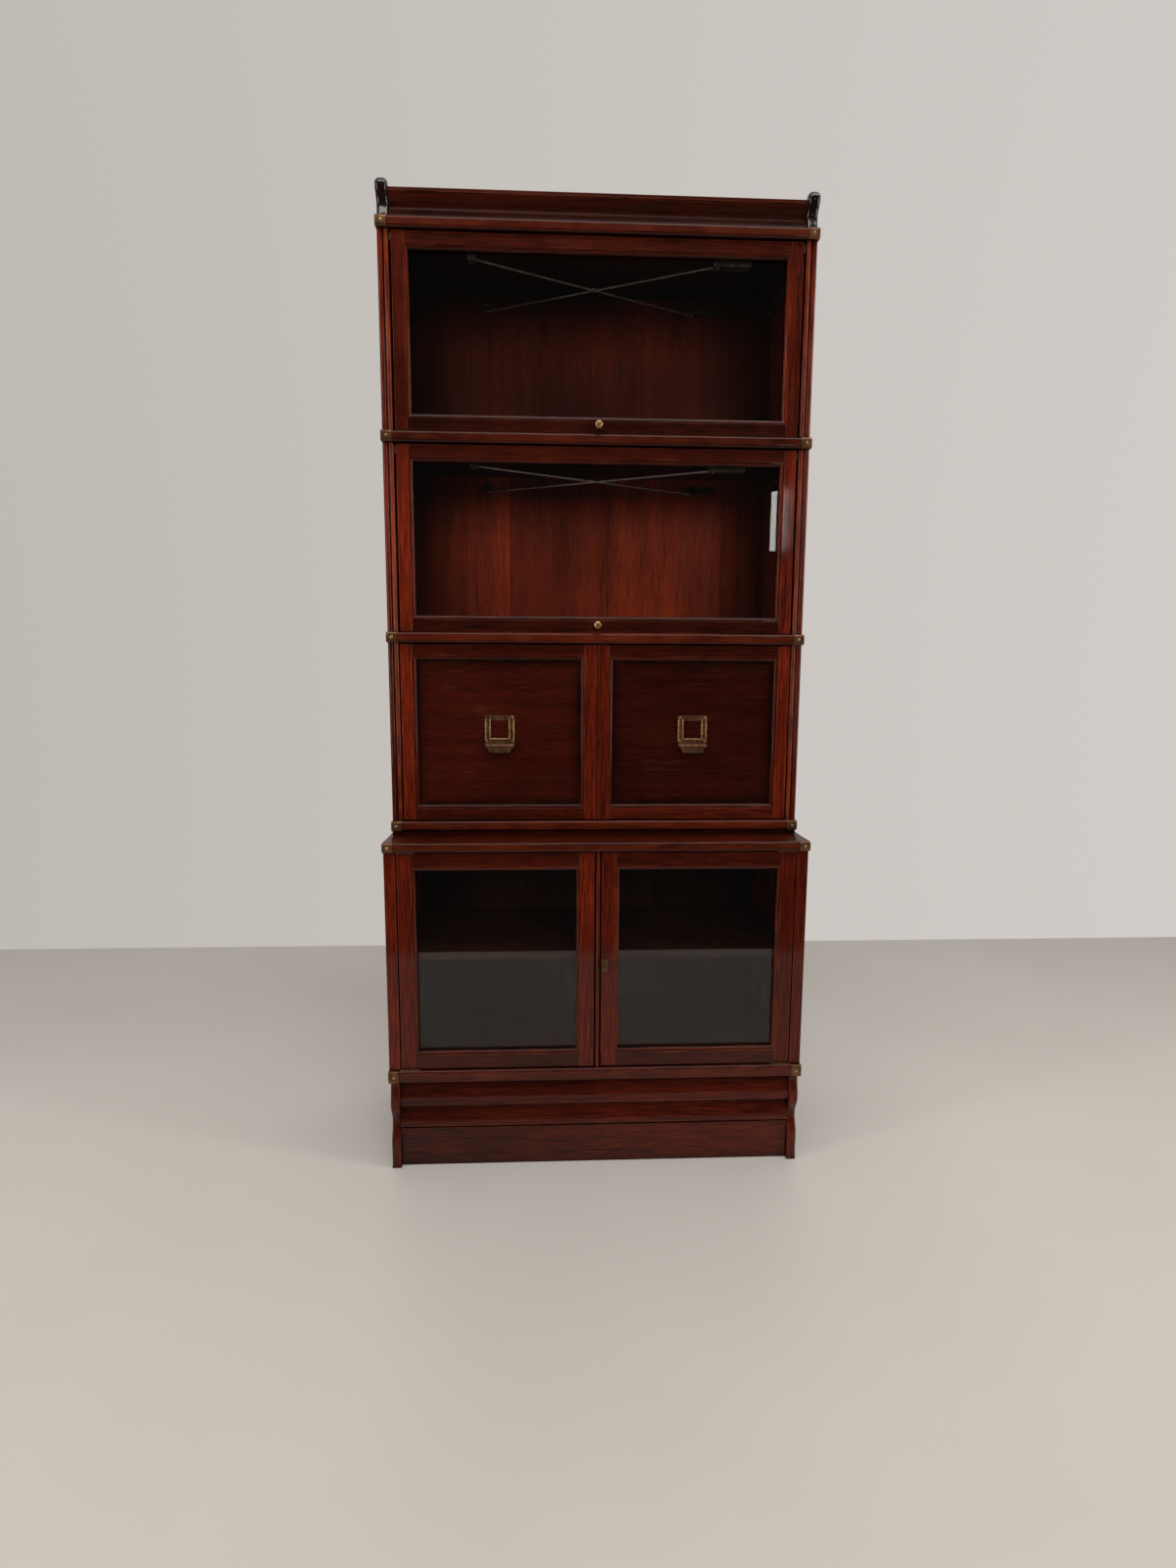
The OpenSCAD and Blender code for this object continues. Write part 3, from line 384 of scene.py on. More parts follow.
def nose(face, back, z0, z1, steps=10):
    """The outline of a moulded board in (y, z), its front edge rounded at top and bottom."""
    front = face - BEAD_OUT + BEAD_R
    low = [(front - BEAD_R * sin(a), z0 + BEAD_R - BEAD_R * cos(a)) for a in sweep(pi / 2, steps)]
    high = [(front - BEAD_R * cos(a), z1 - BEAD_R + BEAD_R * sin(a)) for a in sweep(pi / 2, steps)]
    return low + high + [(back, z1), (back, z0)]


MOULDINGS = (("plinth_top", LOW_HALF, LOWER_Y), ("ledge", LOW_HALF, LOWER_Y),
             ("drawer_case_floor", HALF, UPPER_Y), ("middle_floor", HALF, UPPER_Y),
             ("top_floor", HALF, UPPER_Y), ("cornice_top", HALF, UPPER_Y))
for number, (name, half, face) in enumerate(MOULDINGS):
    z0, z1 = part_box(name)[0].z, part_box(name)[1].z
    work = bmesh.new()
    if name == "drawer_case_floor":
        riser = z0 + RISER_H
        board(work, 0, -half, half, rect(face, BACK_Y, z0, riser), 0, 3.3)
        z0 = riser
    edge = nose(face, BACK_Y, z0, z1)
    # Painted shade under the nose and at the lower edge of the back, partly dirt; rubbed paler along its front,
    # partly wear and partly a painted highlight
    shade = [0.9, 0.9, 0.8, 0.7, 0.5, 0.3, 0.1, 0.0, 0.0, 0.0, -0.1]
    shade += [-0.1, -0.12, -0.1, 0.0, 0.0, 0.0, 0.0, 0.0, 0.0, 0.0, 0.0, 0.0, 0.9]
    board(work, 0, -half, half, edge, 0, number * 0.7, shade)
    moulding = joinery("moulded_" + name, work, polished, 0.5)
    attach(moulding, "case")
    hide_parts(name)

# ---------------------------------------------------------------- ends and posts
# The upper ends are solid boards with a post of two reeds planted on the front
# edge. The cupboard's posts are plain, with the arris rubbed through to the wood.
END_T, POST_W, POST_D = 20 * MM, 23 * MM, 21 * MM
REED = POST_W / 4

for number, name in enumerate(("drawer_case_ends", "middle_ends", "top_ends")):
    z0, z1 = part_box(name)[0].z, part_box(name)[1].z
    work = bmesh.new()
    for side in (-1, 1):
        reeds = [(side * HALF, UPPER_Y + POST_D)]
        for middle in (HALF - REED, HALF - 3 * REED):
            reeds += [(side * (middle + REED * cos(a)), UPPER_Y + REED - REED * sin(a)) for a in sweep(pi, 24)]
        # The two reeds meet in one corner, painted black, partly old polish and partly painted shade, as the inner
        # edge is; the inner reed's crest is rubbed paler, partly wear and partly a painted highlight
        reeds = reeds[:26] + reeds[27:] + [(side * (HALF - POST_W), UPPER_Y + POST_D)]
        shade = [0.0] * 23 + [0.5, 0.8, 1.0, 0.8, 0.5]
        shade += [0.0] * 5 + [-0.3] * 10 + [0.0] * 3 + [0.3, 0.5, 0.7, 0.9, 1.0]
        board(work, 2, z0, z1, reeds, 2, 5 + number + side * 0.3, shade[:len(reeds)])
        board(work, 2, z0, z1, rect(side * (HALF - END_T), side * HALF, UPPER_Y + POST_D, BACK_Y),
              2, 8 + number + side)
    ends = joinery("reeded_" + name, work, polished, 0.5)
    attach(ends, "case")
    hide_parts(name)

LOW_END_T, LOW_POST_W, LOW_POST_D = 22 * MM, 23.5 * MM, 23 * MM
for side, name in ((-1, "cupboard_end_left"), (1, "cupboard_end_right")):
    z0, z1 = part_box(name)[0].z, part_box(name)[1].z
    work = bmesh.new()
    board(work, 2, z0, z1, rect(side * (LOW_HALF - LOW_POST_W), side * LOW_HALF, LOWER_Y, LOWER_Y + LOW_POST_D),
          2, 11 + side)
    board(work, 2, z0, z1, rect(side * (LOW_HALF - LOW_END_T), side * LOW_HALF, LOWER_Y + LOW_POST_D, BACK_Y),
          2, 14 + side)
    end = joinery("solid_" + name, work, polished, 1.1)
    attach(end, "case")
    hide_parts(name)

# ---------------------------------------------------------------- cornice
# A coved board between two ends sawn to a forward-leaning ear with a domed top,
# all standing on the top moulding. The ends are stained black, the board is dull.
CORNICE_END_T, EAR_ROUND = 24 * MM, 8.5 * MM
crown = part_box("cornice_top")[1].z / MM
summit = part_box("cornice_ends")[1].z / MM
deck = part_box("cornice_board")[1].z / MM
EAR_R, EAR_LEAN = 14, 12

# The dome from its back to its front, the leaning edge, the foot, and up the ear's back
ear = [(UPPER_Y + (EAR_R - EAR_LEAN + EAR_R * cos(a)) * MM, (summit - EAR_R + EAR_R * sin(a)) * MM)
       for a in sweep(pi, 20)[:-1]]
lean = wave([(summit - EAR_R, -EAR_LEAN), (crown + 22, 3), (crown, 0)], UPPER_Y, 12)
foot = [(UPPER_Y, crown * MM), (BACK_Y, crown * MM), (BACK_Y, deck * MM),
        (UPPER_Y + (2 * EAR_R - EAR_LEAN) * MM, deck * MM)]
ear = [(foot[3][0], (deck + (summit - EAR_R - deck) * k / 4) * MM) for k in range(1, 4)] + ear
ebonised = polished_mahogany("ebonised_mahogany", 2, "#080403", "#150806", "#1d0c08", "#3a1a10", 0.9, 0.05)
work = bmesh.new()
for side in (-1, 1):
    bullnosed(work, side * (HALF - CORNICE_END_T), side * HALF, ear + lean + foot,
              len(ear + lean), EAR_ROUND, 0, 20 + side)
cornice_ends = joinery("cornice_eared_ends", work, [ebonised], 0)
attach(cornice_ends, "case")
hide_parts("cornice_ends")

# The board from its top fillet down into the cove, which is painted darker towards its foot as shade in the cove
fillet = deck - 7
cove = [(UPPER_Y - 3 * MM, deck * MM), (UPPER_Y - 3 * MM, fillet * MM)]
cove += wave([(fillet, 0), ((crown + fillet) / 2, 12), (crown, 2)], UPPER_Y)
cove += [(UPPER_Y + 2 * MM, crown * MM), (UPPER_Y + 21 * MM, crown * MM), (UPPER_Y + 21 * MM, deck * MM)]
work = bmesh.new()
shade = [0.0, 0.0] + [min(0.9, 0.05 + k * 0.03) for k in range(len(cove) - 2)]
board(work, 0, CORNICE_END_T - HALF, HALF - CORNICE_END_T, cove, 0, 22.5, shade)
dulled = polished_mahogany("dulled_mahogany", 0, "#220703", "#360f06", "#4c1a0b", "#8a4526", 0.1, 0.3)
cornice_board = joinery("cornice_coved_board", work, [dulled], 0.6)
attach(cornice_board, "case")
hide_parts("cornice_board")

# ---------------------------------------------------------------- inside and backs
# Backs of narrow vertical boards, tongued together with a V at each joint, in
# plainer mahogany with a thin, duller polish, left bare behind. The cupboard's
# floor and shelf, the partition and the drawer runners are finished like them.
# inner is the lit wood. shaded and unlit are copies painted darker as the shade they stand in: shaded for the top's
# back, unlit, darker still, for the cupboard's back, floor and shelf
inner = polished_mahogany("thinly_polished_mahogany", 2, "#551409", "#963014", "#ad441e", None, 0.3, 0.3)
shaded = polished_mahogany("painted_shade_thinly_polished_mahogany", 2, "#33100a", "#561c10", "#652616", None, 0.3, 0.3)
unlit = polished_mahogany("painted_unlit_mahogany", 2, "#1e0f0b", "#351c16", "#40241a", None, 0.2, 0.35)
behind = polished_mahogany("unpolished_mahogany", 2, "#3a1a10", "#5a2c1c", "#6c3a26", None, 0.05, 0.4)

V_DEPTH = 1.2 * MM
# Towards its ends a back is painted darker as shade, from this far off its middle, by so much more a metre
GLOOM_X, GLOOM_RATE = 0.22, 4.5

random.seed(4)
# Each back: its boards, their finish, and how dark the painted shade at its ends gets
for name, count, finish, darkest in (("cupboard_back", 7, unlit, 0.85), ("drawer_case_back", 8, inner, 0.0),
                                     ("middle_back", 7, inner, 0.85), ("top_back", 6, shaded, 0.85)):
    lo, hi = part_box(name)
    joints = [lo.x + (hi.x - lo.x) * (k + (random.uniform(-0.2, 0.2) if 0 < k < count else 0)) / count
              for k in range(count + 1)]
    work = bmesh.new()
    for x0, x1 in zip(joints, joints[1:]):
        outline = [(x0, lo.y + V_DEPTH), (x0 + V_DEPTH, lo.y), (x1 - V_DEPTH, lo.y), (x1, lo.y + V_DEPTH),
                   (x1, hi.y - V_DEPTH), (x1 - V_DEPTH, hi.y), (x0 + V_DEPTH, hi.y), (x0, hi.y - V_DEPTH)]
        gloom = [max(0.0, min(darkest, (abs(x) - GLOOM_X) * GLOOM_RATE)) for x, _ in outline]
        board(work, 2, lo.z, hi.z, outline, 0, random.uniform(0, 9), gloom)
    for face in work.faces:
        face.material_index = int(face.calc_center_median().y > (lo.y + hi.y) / 2 + MM)
    back = joinery("boarded_" + name, work, [finish, behind], 0.2)
    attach(back, "case")
    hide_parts(name)


def finished(names, finish):
    """Gives plain pieces, already in the right shape, their finish."""
    for name in names:
        for held in cad[name].material_slots:
            held.material = finish


finished(("cupboard_floor", "cupboard_shelf"), unlit)
finished(("drawer_partition", "drawer_runners"), inner)
finished(("plinth_back",), polished[0])
finished(("cupboard_muntin",), polished[2])

# ---------------------------------------------------------------- door and drawer frames
# Stiles run the full height with the rails tenoned between them. An ovolo is
# mitred round the opening, and glass or panel lies in the rebate behind it.
MOULD_W, MOULD_D, LAP = 8 * MM, 5 * MM, 6 * MM
QUIRK, RAIL_GAP = 0.8 * MM, 0.3 * MM
LIFT_EASE = 7 * MM
LOW_DOOR_W, FRAME_W = 29 * MM, 24 * MM


def framed(work, lo, hi, width, fill, ease, number):
    """A frame in work between corners lo and hi, its members width wide, filled at depth fill.
    ease is the radius of the top rail's back edge, which swings up behind the board above."""
    x0, x1, y, back, z0, z1 = lo.x, hi.x, lo.y, hi.y, lo.z, hi.z
    arch = [(y, z1), (back, z1)]
    if ease:
        arch = [(y, z1)] + [(back - ease + ease * sin(a), z1 - ease + ease * cos(a)) for a in sweep(pi / 2, 8)]
    # The lift-up doors' rails, and the highest door's stiles, are painted darker as shade, the light falling off
    # towards the top
    painted_top_shade = 0.42 if z1 > 1.8 else 0.0
    dark = max(0.45, painted_top_shade + 0.2) if ease else 0.0
    for a0, a1, n in ((x0, x0 + width, 0), (x1 - width, x1, 1)):
        board(work, 0, a0, a1, [(y, z0)] + arch + [(back, z0)], 2, number + n * 0.37, [painted_top_shade] * (len(arch) + 2))
    # Rails, a hair short of the stiles' ends
    a0, a1 = x0 + width, x1 - width
    board(work, 0, a0, a1, rect(y, back, z0 + RAIL_GAP, z0 + width), 0, number + 0.9, [dark] * 4)
    board(work, 0, a0, a1, [(y, z1 - width)] + [(b, c - RAIL_GAP) for b, c in arch] + [(back, z1 - width)],
          0, number + 1.3, [dark] * (len(arch) + 2))
    # The ovolo, as distance from the frame's outer edge and depth behind its face
    far = width + MOULD_W
    ovolo = [(width, QUIRK)]
    ovolo += [(width + QUIRK + (MOULD_W - 2 * MM) * sin(a), QUIRK + (MOULD_D - 1 * MM) * (1 - cos(a)))
              for a in sweep(pi / 2, 8)]
    ovolo += [(far, MOULD_D + 0.3 * MM), (far, fill), (far - LAP, fill), (far - LAP, back - y), (width, back - y)]
    inset = [u for u, _ in ovolo]
    # Painted shade in the quirk and at the ovolo's foot, darkest where it meets the filling
    shade = [1.0, 0.85, 0.35, 0.1, 0.0, 0.0, 0.1, 0.3, 0.6, 0.9] + [1.0] * (len(ovolo) - 10)
    for side, edge in ((1, x0), (-1, x1)):
        board(work, 2, [z0 + u for u in inset], [z1 - u for u in inset],
              [(edge + side * u, y + d) for u, d in ovolo], 2, number + 1.7, shade)
    for side, edge in ((1, z0), (-1, z1)):
        board(work, 0, [x0 + u for u in inset], [x1 - u for u in inset],
              [(y + d, edge + side * u) for u, d in ovolo], 0, number + 2.1, shade)


# Each frame: the width of its members, how far in its filling lies, its ease, and its first board's number
for name, width, fill, ease, number in (
        ("left_door", LOW_DOOR_W, 12 * MM, 0, 31), ("right_door", LOW_DOOR_W, 12 * MM, 0, 34),
        ("left_drawer", FRAME_W, 8 * MM, 0, 37), ("right_drawer", FRAME_W, 8 * MM, 0, 40),
        ("middle_door", FRAME_W, 11 * MM, LIFT_EASE, 43), ("top_door", FRAME_W, 11 * MM, LIFT_EASE, 46)):
    lo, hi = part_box(name + "_frame")
    work = bmesh.new()
    framed(work, lo, hi, width, fill, ease, number)
    sash = joinery(name + "_joined_frame", work, polished, 0.55)
    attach(sash, name)
    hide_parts(name + "_frame")

# ---------------------------------------------------------------- glass
# Thin sheet glass, nearly colourless. What is seen through it doesn't bend, so
# each pane is drawn clear, with a mirror on both its faces.
glass, tree, out = material("drawn_sheet_glass")
mirror = add(tree, "ShaderNodeBsdfGlossy", {"Color": (1, 1, 1, 1), "Roughness": 0.0}).outputs[0]
clear = add(tree, "ShaderNodeBsdfTransparent", {"Color": linear("#f5f5f3")}).outputs[0]
# Each face mirrors 2.4% head on and more as it is seen edge on, the same from either side
facing = add(tree, "ShaderNodeLayerWeight", {"Blend": 0.5}).outputs["Facing"]
slant = add(tree, "ShaderNodeMath", {0: facing, 1: 5.0}, operation="POWER").outputs[0]
share = add(tree, "ShaderNodeMapRange", {0: slant, 3: 0.024, 4: 1.0}).outputs[0]
pane = add(tree, "ShaderNodeMixShader", {0: share, 1: clear, 2: mirror})
tree.links.new(pane.outputs[0], out.inputs[0])
finished(("left_door_glass", "right_door_glass", "middle_door_glass", "top_door_glass"), glass)

# ---------------------------------------------------------------- drawers
# Each front is a sunk panel with open horizontal grain in its frame, darkened along its
# edges, partly old polish and partly painted shade from the frame. The box behind is plain wood, open at the top.
panel_wood = polished_mahogany("open_grained_panel", 0, "#1a0502", "#330b05", "#451409", "#6e3a22", cracks=0.5)
# How far in from the panel's edge the painted shade and dirt start to thin, and where they end
PANEL_EDGE, PANEL_RIM = 5 * MM, 34 * MM
for number, name in enumerate(("left_drawer", "right_drawer")):
    lo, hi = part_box(name + "_panel")
    work = bmesh.new()
    shade_dirt_wear_layer = work.verts.layers.float.new("shade_dirt_wear")
    numbers = work.faces.layers.float.new("board")
    loops = []
    for depth, back, dark in ((0, 1, 1), (0, 0, 1), (PANEL_EDGE, 0, 1), (PANEL_EDGE + 3 * MM, 0, 0.9),
                              (PANEL_EDGE + 11 * MM, 0, 0.35), (PANEL_RIM, 0, 0)):
        corners = [(lo.x + depth, lo.z + depth), (hi.x - depth, lo.z + depth),
                   (hi.x - depth, hi.z - depth), (lo.x + depth, hi.z - depth)]
        loop = [work.verts.new((x, hi.y if back else lo.y, z)) for x, z in corners]
        for vertex in loop:
            vertex[shade_dirt_wear_layer] = dark
        loops.append(loop)
    shapes = [loops[0], loops[-1]]
    shapes += [(a[k - 1], a[k], b[k], b[k - 1]) for a, b in zip(loops, loops[1:]) for k in range(4)]
    for shape in shapes:
        work.faces.new(shape)[numbers] = 50.3 + number
    panel = joinery(name + "_sunk_panel", work, [panel_wood], 0)
    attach(panel, name)
    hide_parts(name + "_panel")
    finished((name + "_box",), inner)

# ---------------------------------------------------------------- corner brasses
# Bands of rolled brass bent round the ends of each moulding, long unpolished:
# brown where untouched, yellow where cloths have rubbed. Two screws hold each.
def old_metal(name, clean, tarnished, rubbed, rough=0.36, bare=0.75):
    """Metal with cloudy tarnish over clean, pitted a little, and rubbed bright on its edges.
    bare is the share of its face that is metal rather than oxide."""
    made, tree, out = material(name)
    place = add(tree, "ShaderNodeTexCoord").outputs["Object"]
    cloud = add(tree, "ShaderNodeTexNoise", {"Vector": place, "Scale": 70, "Detail": 3}).outputs[0]
    tarnish = add(tree, "ShaderNodeMapRange", {0: cloud, 1: 0.36, 2: 0.60}).outputs[0]
    tint = add(tree, "ShaderNodeMix",
               {0: tarnish, 6: linear(clean), 7: linear(tarnished)}, data_type="RGBA").outputs[2]
    soft = add(tree, "ShaderNodeBevel", {"Radius": 0.6 * MM}, samples=4).outputs[0]
    face = add(tree, "ShaderNodeNewGeometry").outputs["Normal"]
    flat = add(tree, "ShaderNodeVectorMath", {0: soft, 1: face}, operation="DOT_PRODUCT").outputs["Value"]
    edge = add(tree, "ShaderNodeMapRange", {0: flat, 1: 0.985, 2: 0.85, 4: 0.7}).outputs[0]
    tint = add(tree, "ShaderNodeMix", {0: edge, 6: tint, 7: linear(rubbed)}, data_type="RGBA").outputs[2]
    pits = add(tree, "ShaderNodeTexNoise", {"Vector": place, "Scale": 350, "Detail": 2}).outputs[0]
    relief = add(tree, "ShaderNodeBump", {"Height": pits, "Strength": 0.08, "Distance": 0.3 * MM}).outputs[0]
    dull = add(tree, "ShaderNodeMapRange", {0: cloud, 1: 0.3, 2: 0.7, 3: rough - 0.08, 4: rough + 0.1}).outputs[0]
    skin = add(tree, "ShaderNodeBsdfPrincipled",
               {"Base Color": tint, "Metallic": bare, "Roughness": dull, "Normal": relief})
    tree.links.new(skin.outputs[0], out.inputs[0])
    return made


brass = old_metal("aged_brass", "#7a563a", "#553826", "#c89c68", 0.40)
rubbed_brass = old_metal("rubbed_brass", "#c09860", "#96724a", "#dcb880", 0.28, 0.8)

BRASS_W, BRASS_SIDE, BRASS_T, BRASS_EDGE = 20 * MM, 32 * MM, 1.2 * MM, 0.6 * MM
BRASS_H = 22 * MM
SCREW_R, SCREW_H, SCREW_SUNK = 3.312 * MM, 1.3 * MM, 0.1 * MM
SLOT_SHARE = 0.26


def screw_tree():
    """Screws for every point given, each turned by the point's own facing and turn."""
    group = bpy.data.node_groups.new("slotted_screws", "GeometryNodeTree")
    sockets = group.interface
    sockets.new_socket("Points", in_out="INPUT", socket_type="NodeSocketGeometry")
    for label in ("Head Radius", "Head Height", "Slot Width"):
        sockets.new_socket(label, in_out="INPUT", socket_type="NodeSocketFloat")
    sockets.new_socket("Metal", in_out="INPUT", socket_type="NodeSocketMaterial")
    sockets.new_socket("Screws", in_out="OUTPUT", socket_type="NodeSocketGeometry")
    given = add(group, "NodeGroupInput").outputs
    dome = add(group, "GeometryNodeMeshUVSphere", {"Segments": 20, "Rings": 10, "Radius": 1.0}).outputs["Mesh"]
    size = add(group, "ShaderNodeCombineXYZ",
               {0: given["Head Radius"], 1: given["Head Radius"], 2: given["Head Height"]})
    dome = add(group, "GeometryNodeTransform", {"Geometry": dome, "Scale": size.outputs[0]}).outputs[0]
    length = add(group, "ShaderNodeMath", {0: given["Head Radius"], 1: 3.0}, operation="MULTIPLY").outputs[0]
    cut = add(group, "ShaderNodeCombineXYZ", {0: length, 1: given["Slot Width"], 2: given["Head Height"]})
    bar = add(group, "GeometryNodeMeshCube", {"Size": cut.outputs[0]}).outputs["Mesh"]
    above = add(group, "ShaderNodeCombineXYZ", {2: given["Head Height"]})
    bar = add(group, "GeometryNodeTransform", {"Geometry": bar, "Translation": above.outputs[0]}).outputs[0]
    head = add(group, "GeometryNodeMeshBoolean", {0: dome, 1: bar}, operation="DIFFERENCE").outputs[0]
    facing = add(group, "GeometryNodeInputNamedAttribute", {"Name": "facing"}, data_type="FLOAT_VECTOR").outputs[0]
    turn = add(group, "GeometryNodeInputNamedAttribute", {"Name": "turn"}, data_type="FLOAT").outputs[0]
    twist = add(group, "ShaderNodeCombineXYZ", {2: turn}).outputs[0]
    aim = add(group, "FunctionNodeAlignRotationToVector", {"Vector": facing}, axis="Z").outputs[0]
    aim = add(group, "FunctionNodeRotateRotation", {0: aim, 1: twist}, rotation_space="LOCAL").outputs[0]
    laid = add(group, "GeometryNodeInstanceOnPoints", {"Points": given["Points"], "Instance": head, "Rotation": aim})
    real = add(group, "GeometryNodeRealizeInstances", {0: laid.outputs[0]}).outputs[0]
    done = add(group, "GeometryNodeSetMaterial", {"Geometry": real, "Material": given["Metal"]}).outputs[0]
    add(group, "NodeGroupOutput", {0: done})
    return group


screw_nodes = screw_tree()


def screws(name, spots, radius, height, metal):
    """One plain mesh of slotted screws. Each spot is its place, the way it faces and its slot's turn."""
    points = bpy.data.meshes.new(name)
    points.from_pydata([spot[0] for spot in spots], [], [])
    points.attributes.new("facing", "FLOAT_VECTOR", "POINT").data.foreach_set(
        "vector", [value for spot in spots for value in spot[1]])
    points.attributes.new("turn", "FLOAT", "POINT").data.foreach_set("value", [spot[2] for spot in spots])
    holder = bpy.data.objects.new(name, points)
    bpy.context.scene.collection.objects.link(holder)
    grown = holder.modifiers.new("screws", "NODES")
    grown.node_group = screw_nodes
    values = {"Head Radius": radius, "Head Height": height, "Slot Width": radius * SLOT_SHARE, "Metal": metal}
    for item in screw_nodes.interface.items_tree:
        if item.name in values:
            grown[item.identifier] = values[item.name]
    bpy.context.view_layer.update()
    mesh = bpy.data.meshes.new_from_object(holder.evaluated_get(bpy.context.evaluated_depsgraph_get()))
    mesh.name = name
    bpy.data.objects.remove(holder)
    bpy.data.meshes.remove(points)
    mesh.shade_smooth()
    mesh.set_sharp_from_angle(angle=radians(40))
    made = bpy.data.objects.new(name, mesh)
    bpy.context.scene.collection.objects.link(made)
    return made


def arc(y, z, radius, low, high, steps=8):
    """Points (y, z) on a front edge's round, from angle low to high above the level forward line."""
    return [(y - radius * cos(a), z + radius * sin(a)) for a in
            (low + (high - low) * k / steps for k in range(steps + 1))]


random.seed(7)
spots = []
work = bmesh.new()
for name, half, face in MOULDINGS:
    z1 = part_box(name)[1].z
    z0 = z1 - (BRASS_H if half == HALF else z1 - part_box(name)[0].z)
    y = face - BEAD_OUT + BEAD_R
    over, under = BEAD_R + BRASS_T, BEAD_R
    a_out, a_in = asin((BEAD_R - BRASS_EDGE) / over), asin((BEAD_R - BRASS_EDGE) / under)
    low, high = z0 + BEAD_R, z1 - BEAD_R
    skin_out = arc(y, low, over, -a_out, 0) + arc(y, high, over, 0, a_out)
    skin_in = arc(y, high, under, a_in, 0) + arc(y, low, under, 0, -a_in)
    cheek = skin_out + [(face + BRASS_SIDE - 5 * MM, z1 - BRASS_EDGE), (face + BRASS_SIDE - 1.5 * MM, z1 - 2 * MM),
                        (face + BRASS_SIDE, z1 - 5.5 * MM), (face + BRASS_SIDE, z0 + 5.5 * MM),
                        (face + BRASS_SIDE - 1.5 * MM, z0 + 2 * MM), (face + BRASS_SIDE - 5 * MM, z0 + BRASS_EDGE)]
    for side in (-1, 1):
        board(work, 0, side * (half - BRASS_W), side * half, skin_out + skin_in, 0)
        board(work, 0, side * half, side * (half + BRASS_T), cheek, 0)
        middle = (z0 + z1) / 2
        spots.append(((side * (half - BRASS_W / 2), face - BEAD_OUT - BRASS_T + SCREW_SUNK, middle),
                      (0, -1, 0), random.uniform(0, pi)))
        spots.append(((side * (half + BRASS_T - SCREW_SUNK), face + BRASS_SIDE / 2, middle),
                      (side, 0, 0), random.uniform(0, pi)))
bands = joinery("wrapped_corner_brasses", work, [brass], 0.35)
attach(bands, "case")
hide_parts("corner_brasses")
heads = screws("corner_brass_screws", spots, SCREW_R, SCREW_H, rubbed_brass)
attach(heads, "case")
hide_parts("corner_screws")

# ---------------------------------------------------------------- drawer pulls
# Pressed brass: a card frame with its long edges rolled into ribs, and a hood
# below that the fingers go behind, cut narrower at its foot. Four screws hold
# each, and the left pull has lost its upper left one.
PULL_T, PULL_WINDOW, PULL_HOOD_H = 1.5 * MM, 18.5 * MM, 20 * MM
PULL_SCREW_R, PULL_SCREW_H, PULL_SCREW_IN = 2.6 * MM, 1.1 * MM, 4 * MM
RIB_OUTER_R, RIB_INNER_R, RIB_STOP = 1.5 * MM, 1.3 * MM, 7 * MM
LIP_R = 1.2 * MM
HOOD_D, HOOD_T, HOOD_ROUND = 13 * MM, 1.3 * MM, 2 * MM


def hood_row(work, centre, y, d, z, w):
    """One row of six corners across a hood: w wide each way from centre, standing d out from y."""
    c = min(HOOD_ROUND, d * 0.45)
    return [work.verts.new((centre + x, y - e, z)) for x, e in (
        (-w - c * 0.3, 0), (-w, d - c), (-w + c, d), (w - c, d), (w, d - c), (w + c * 0.3, 0))]


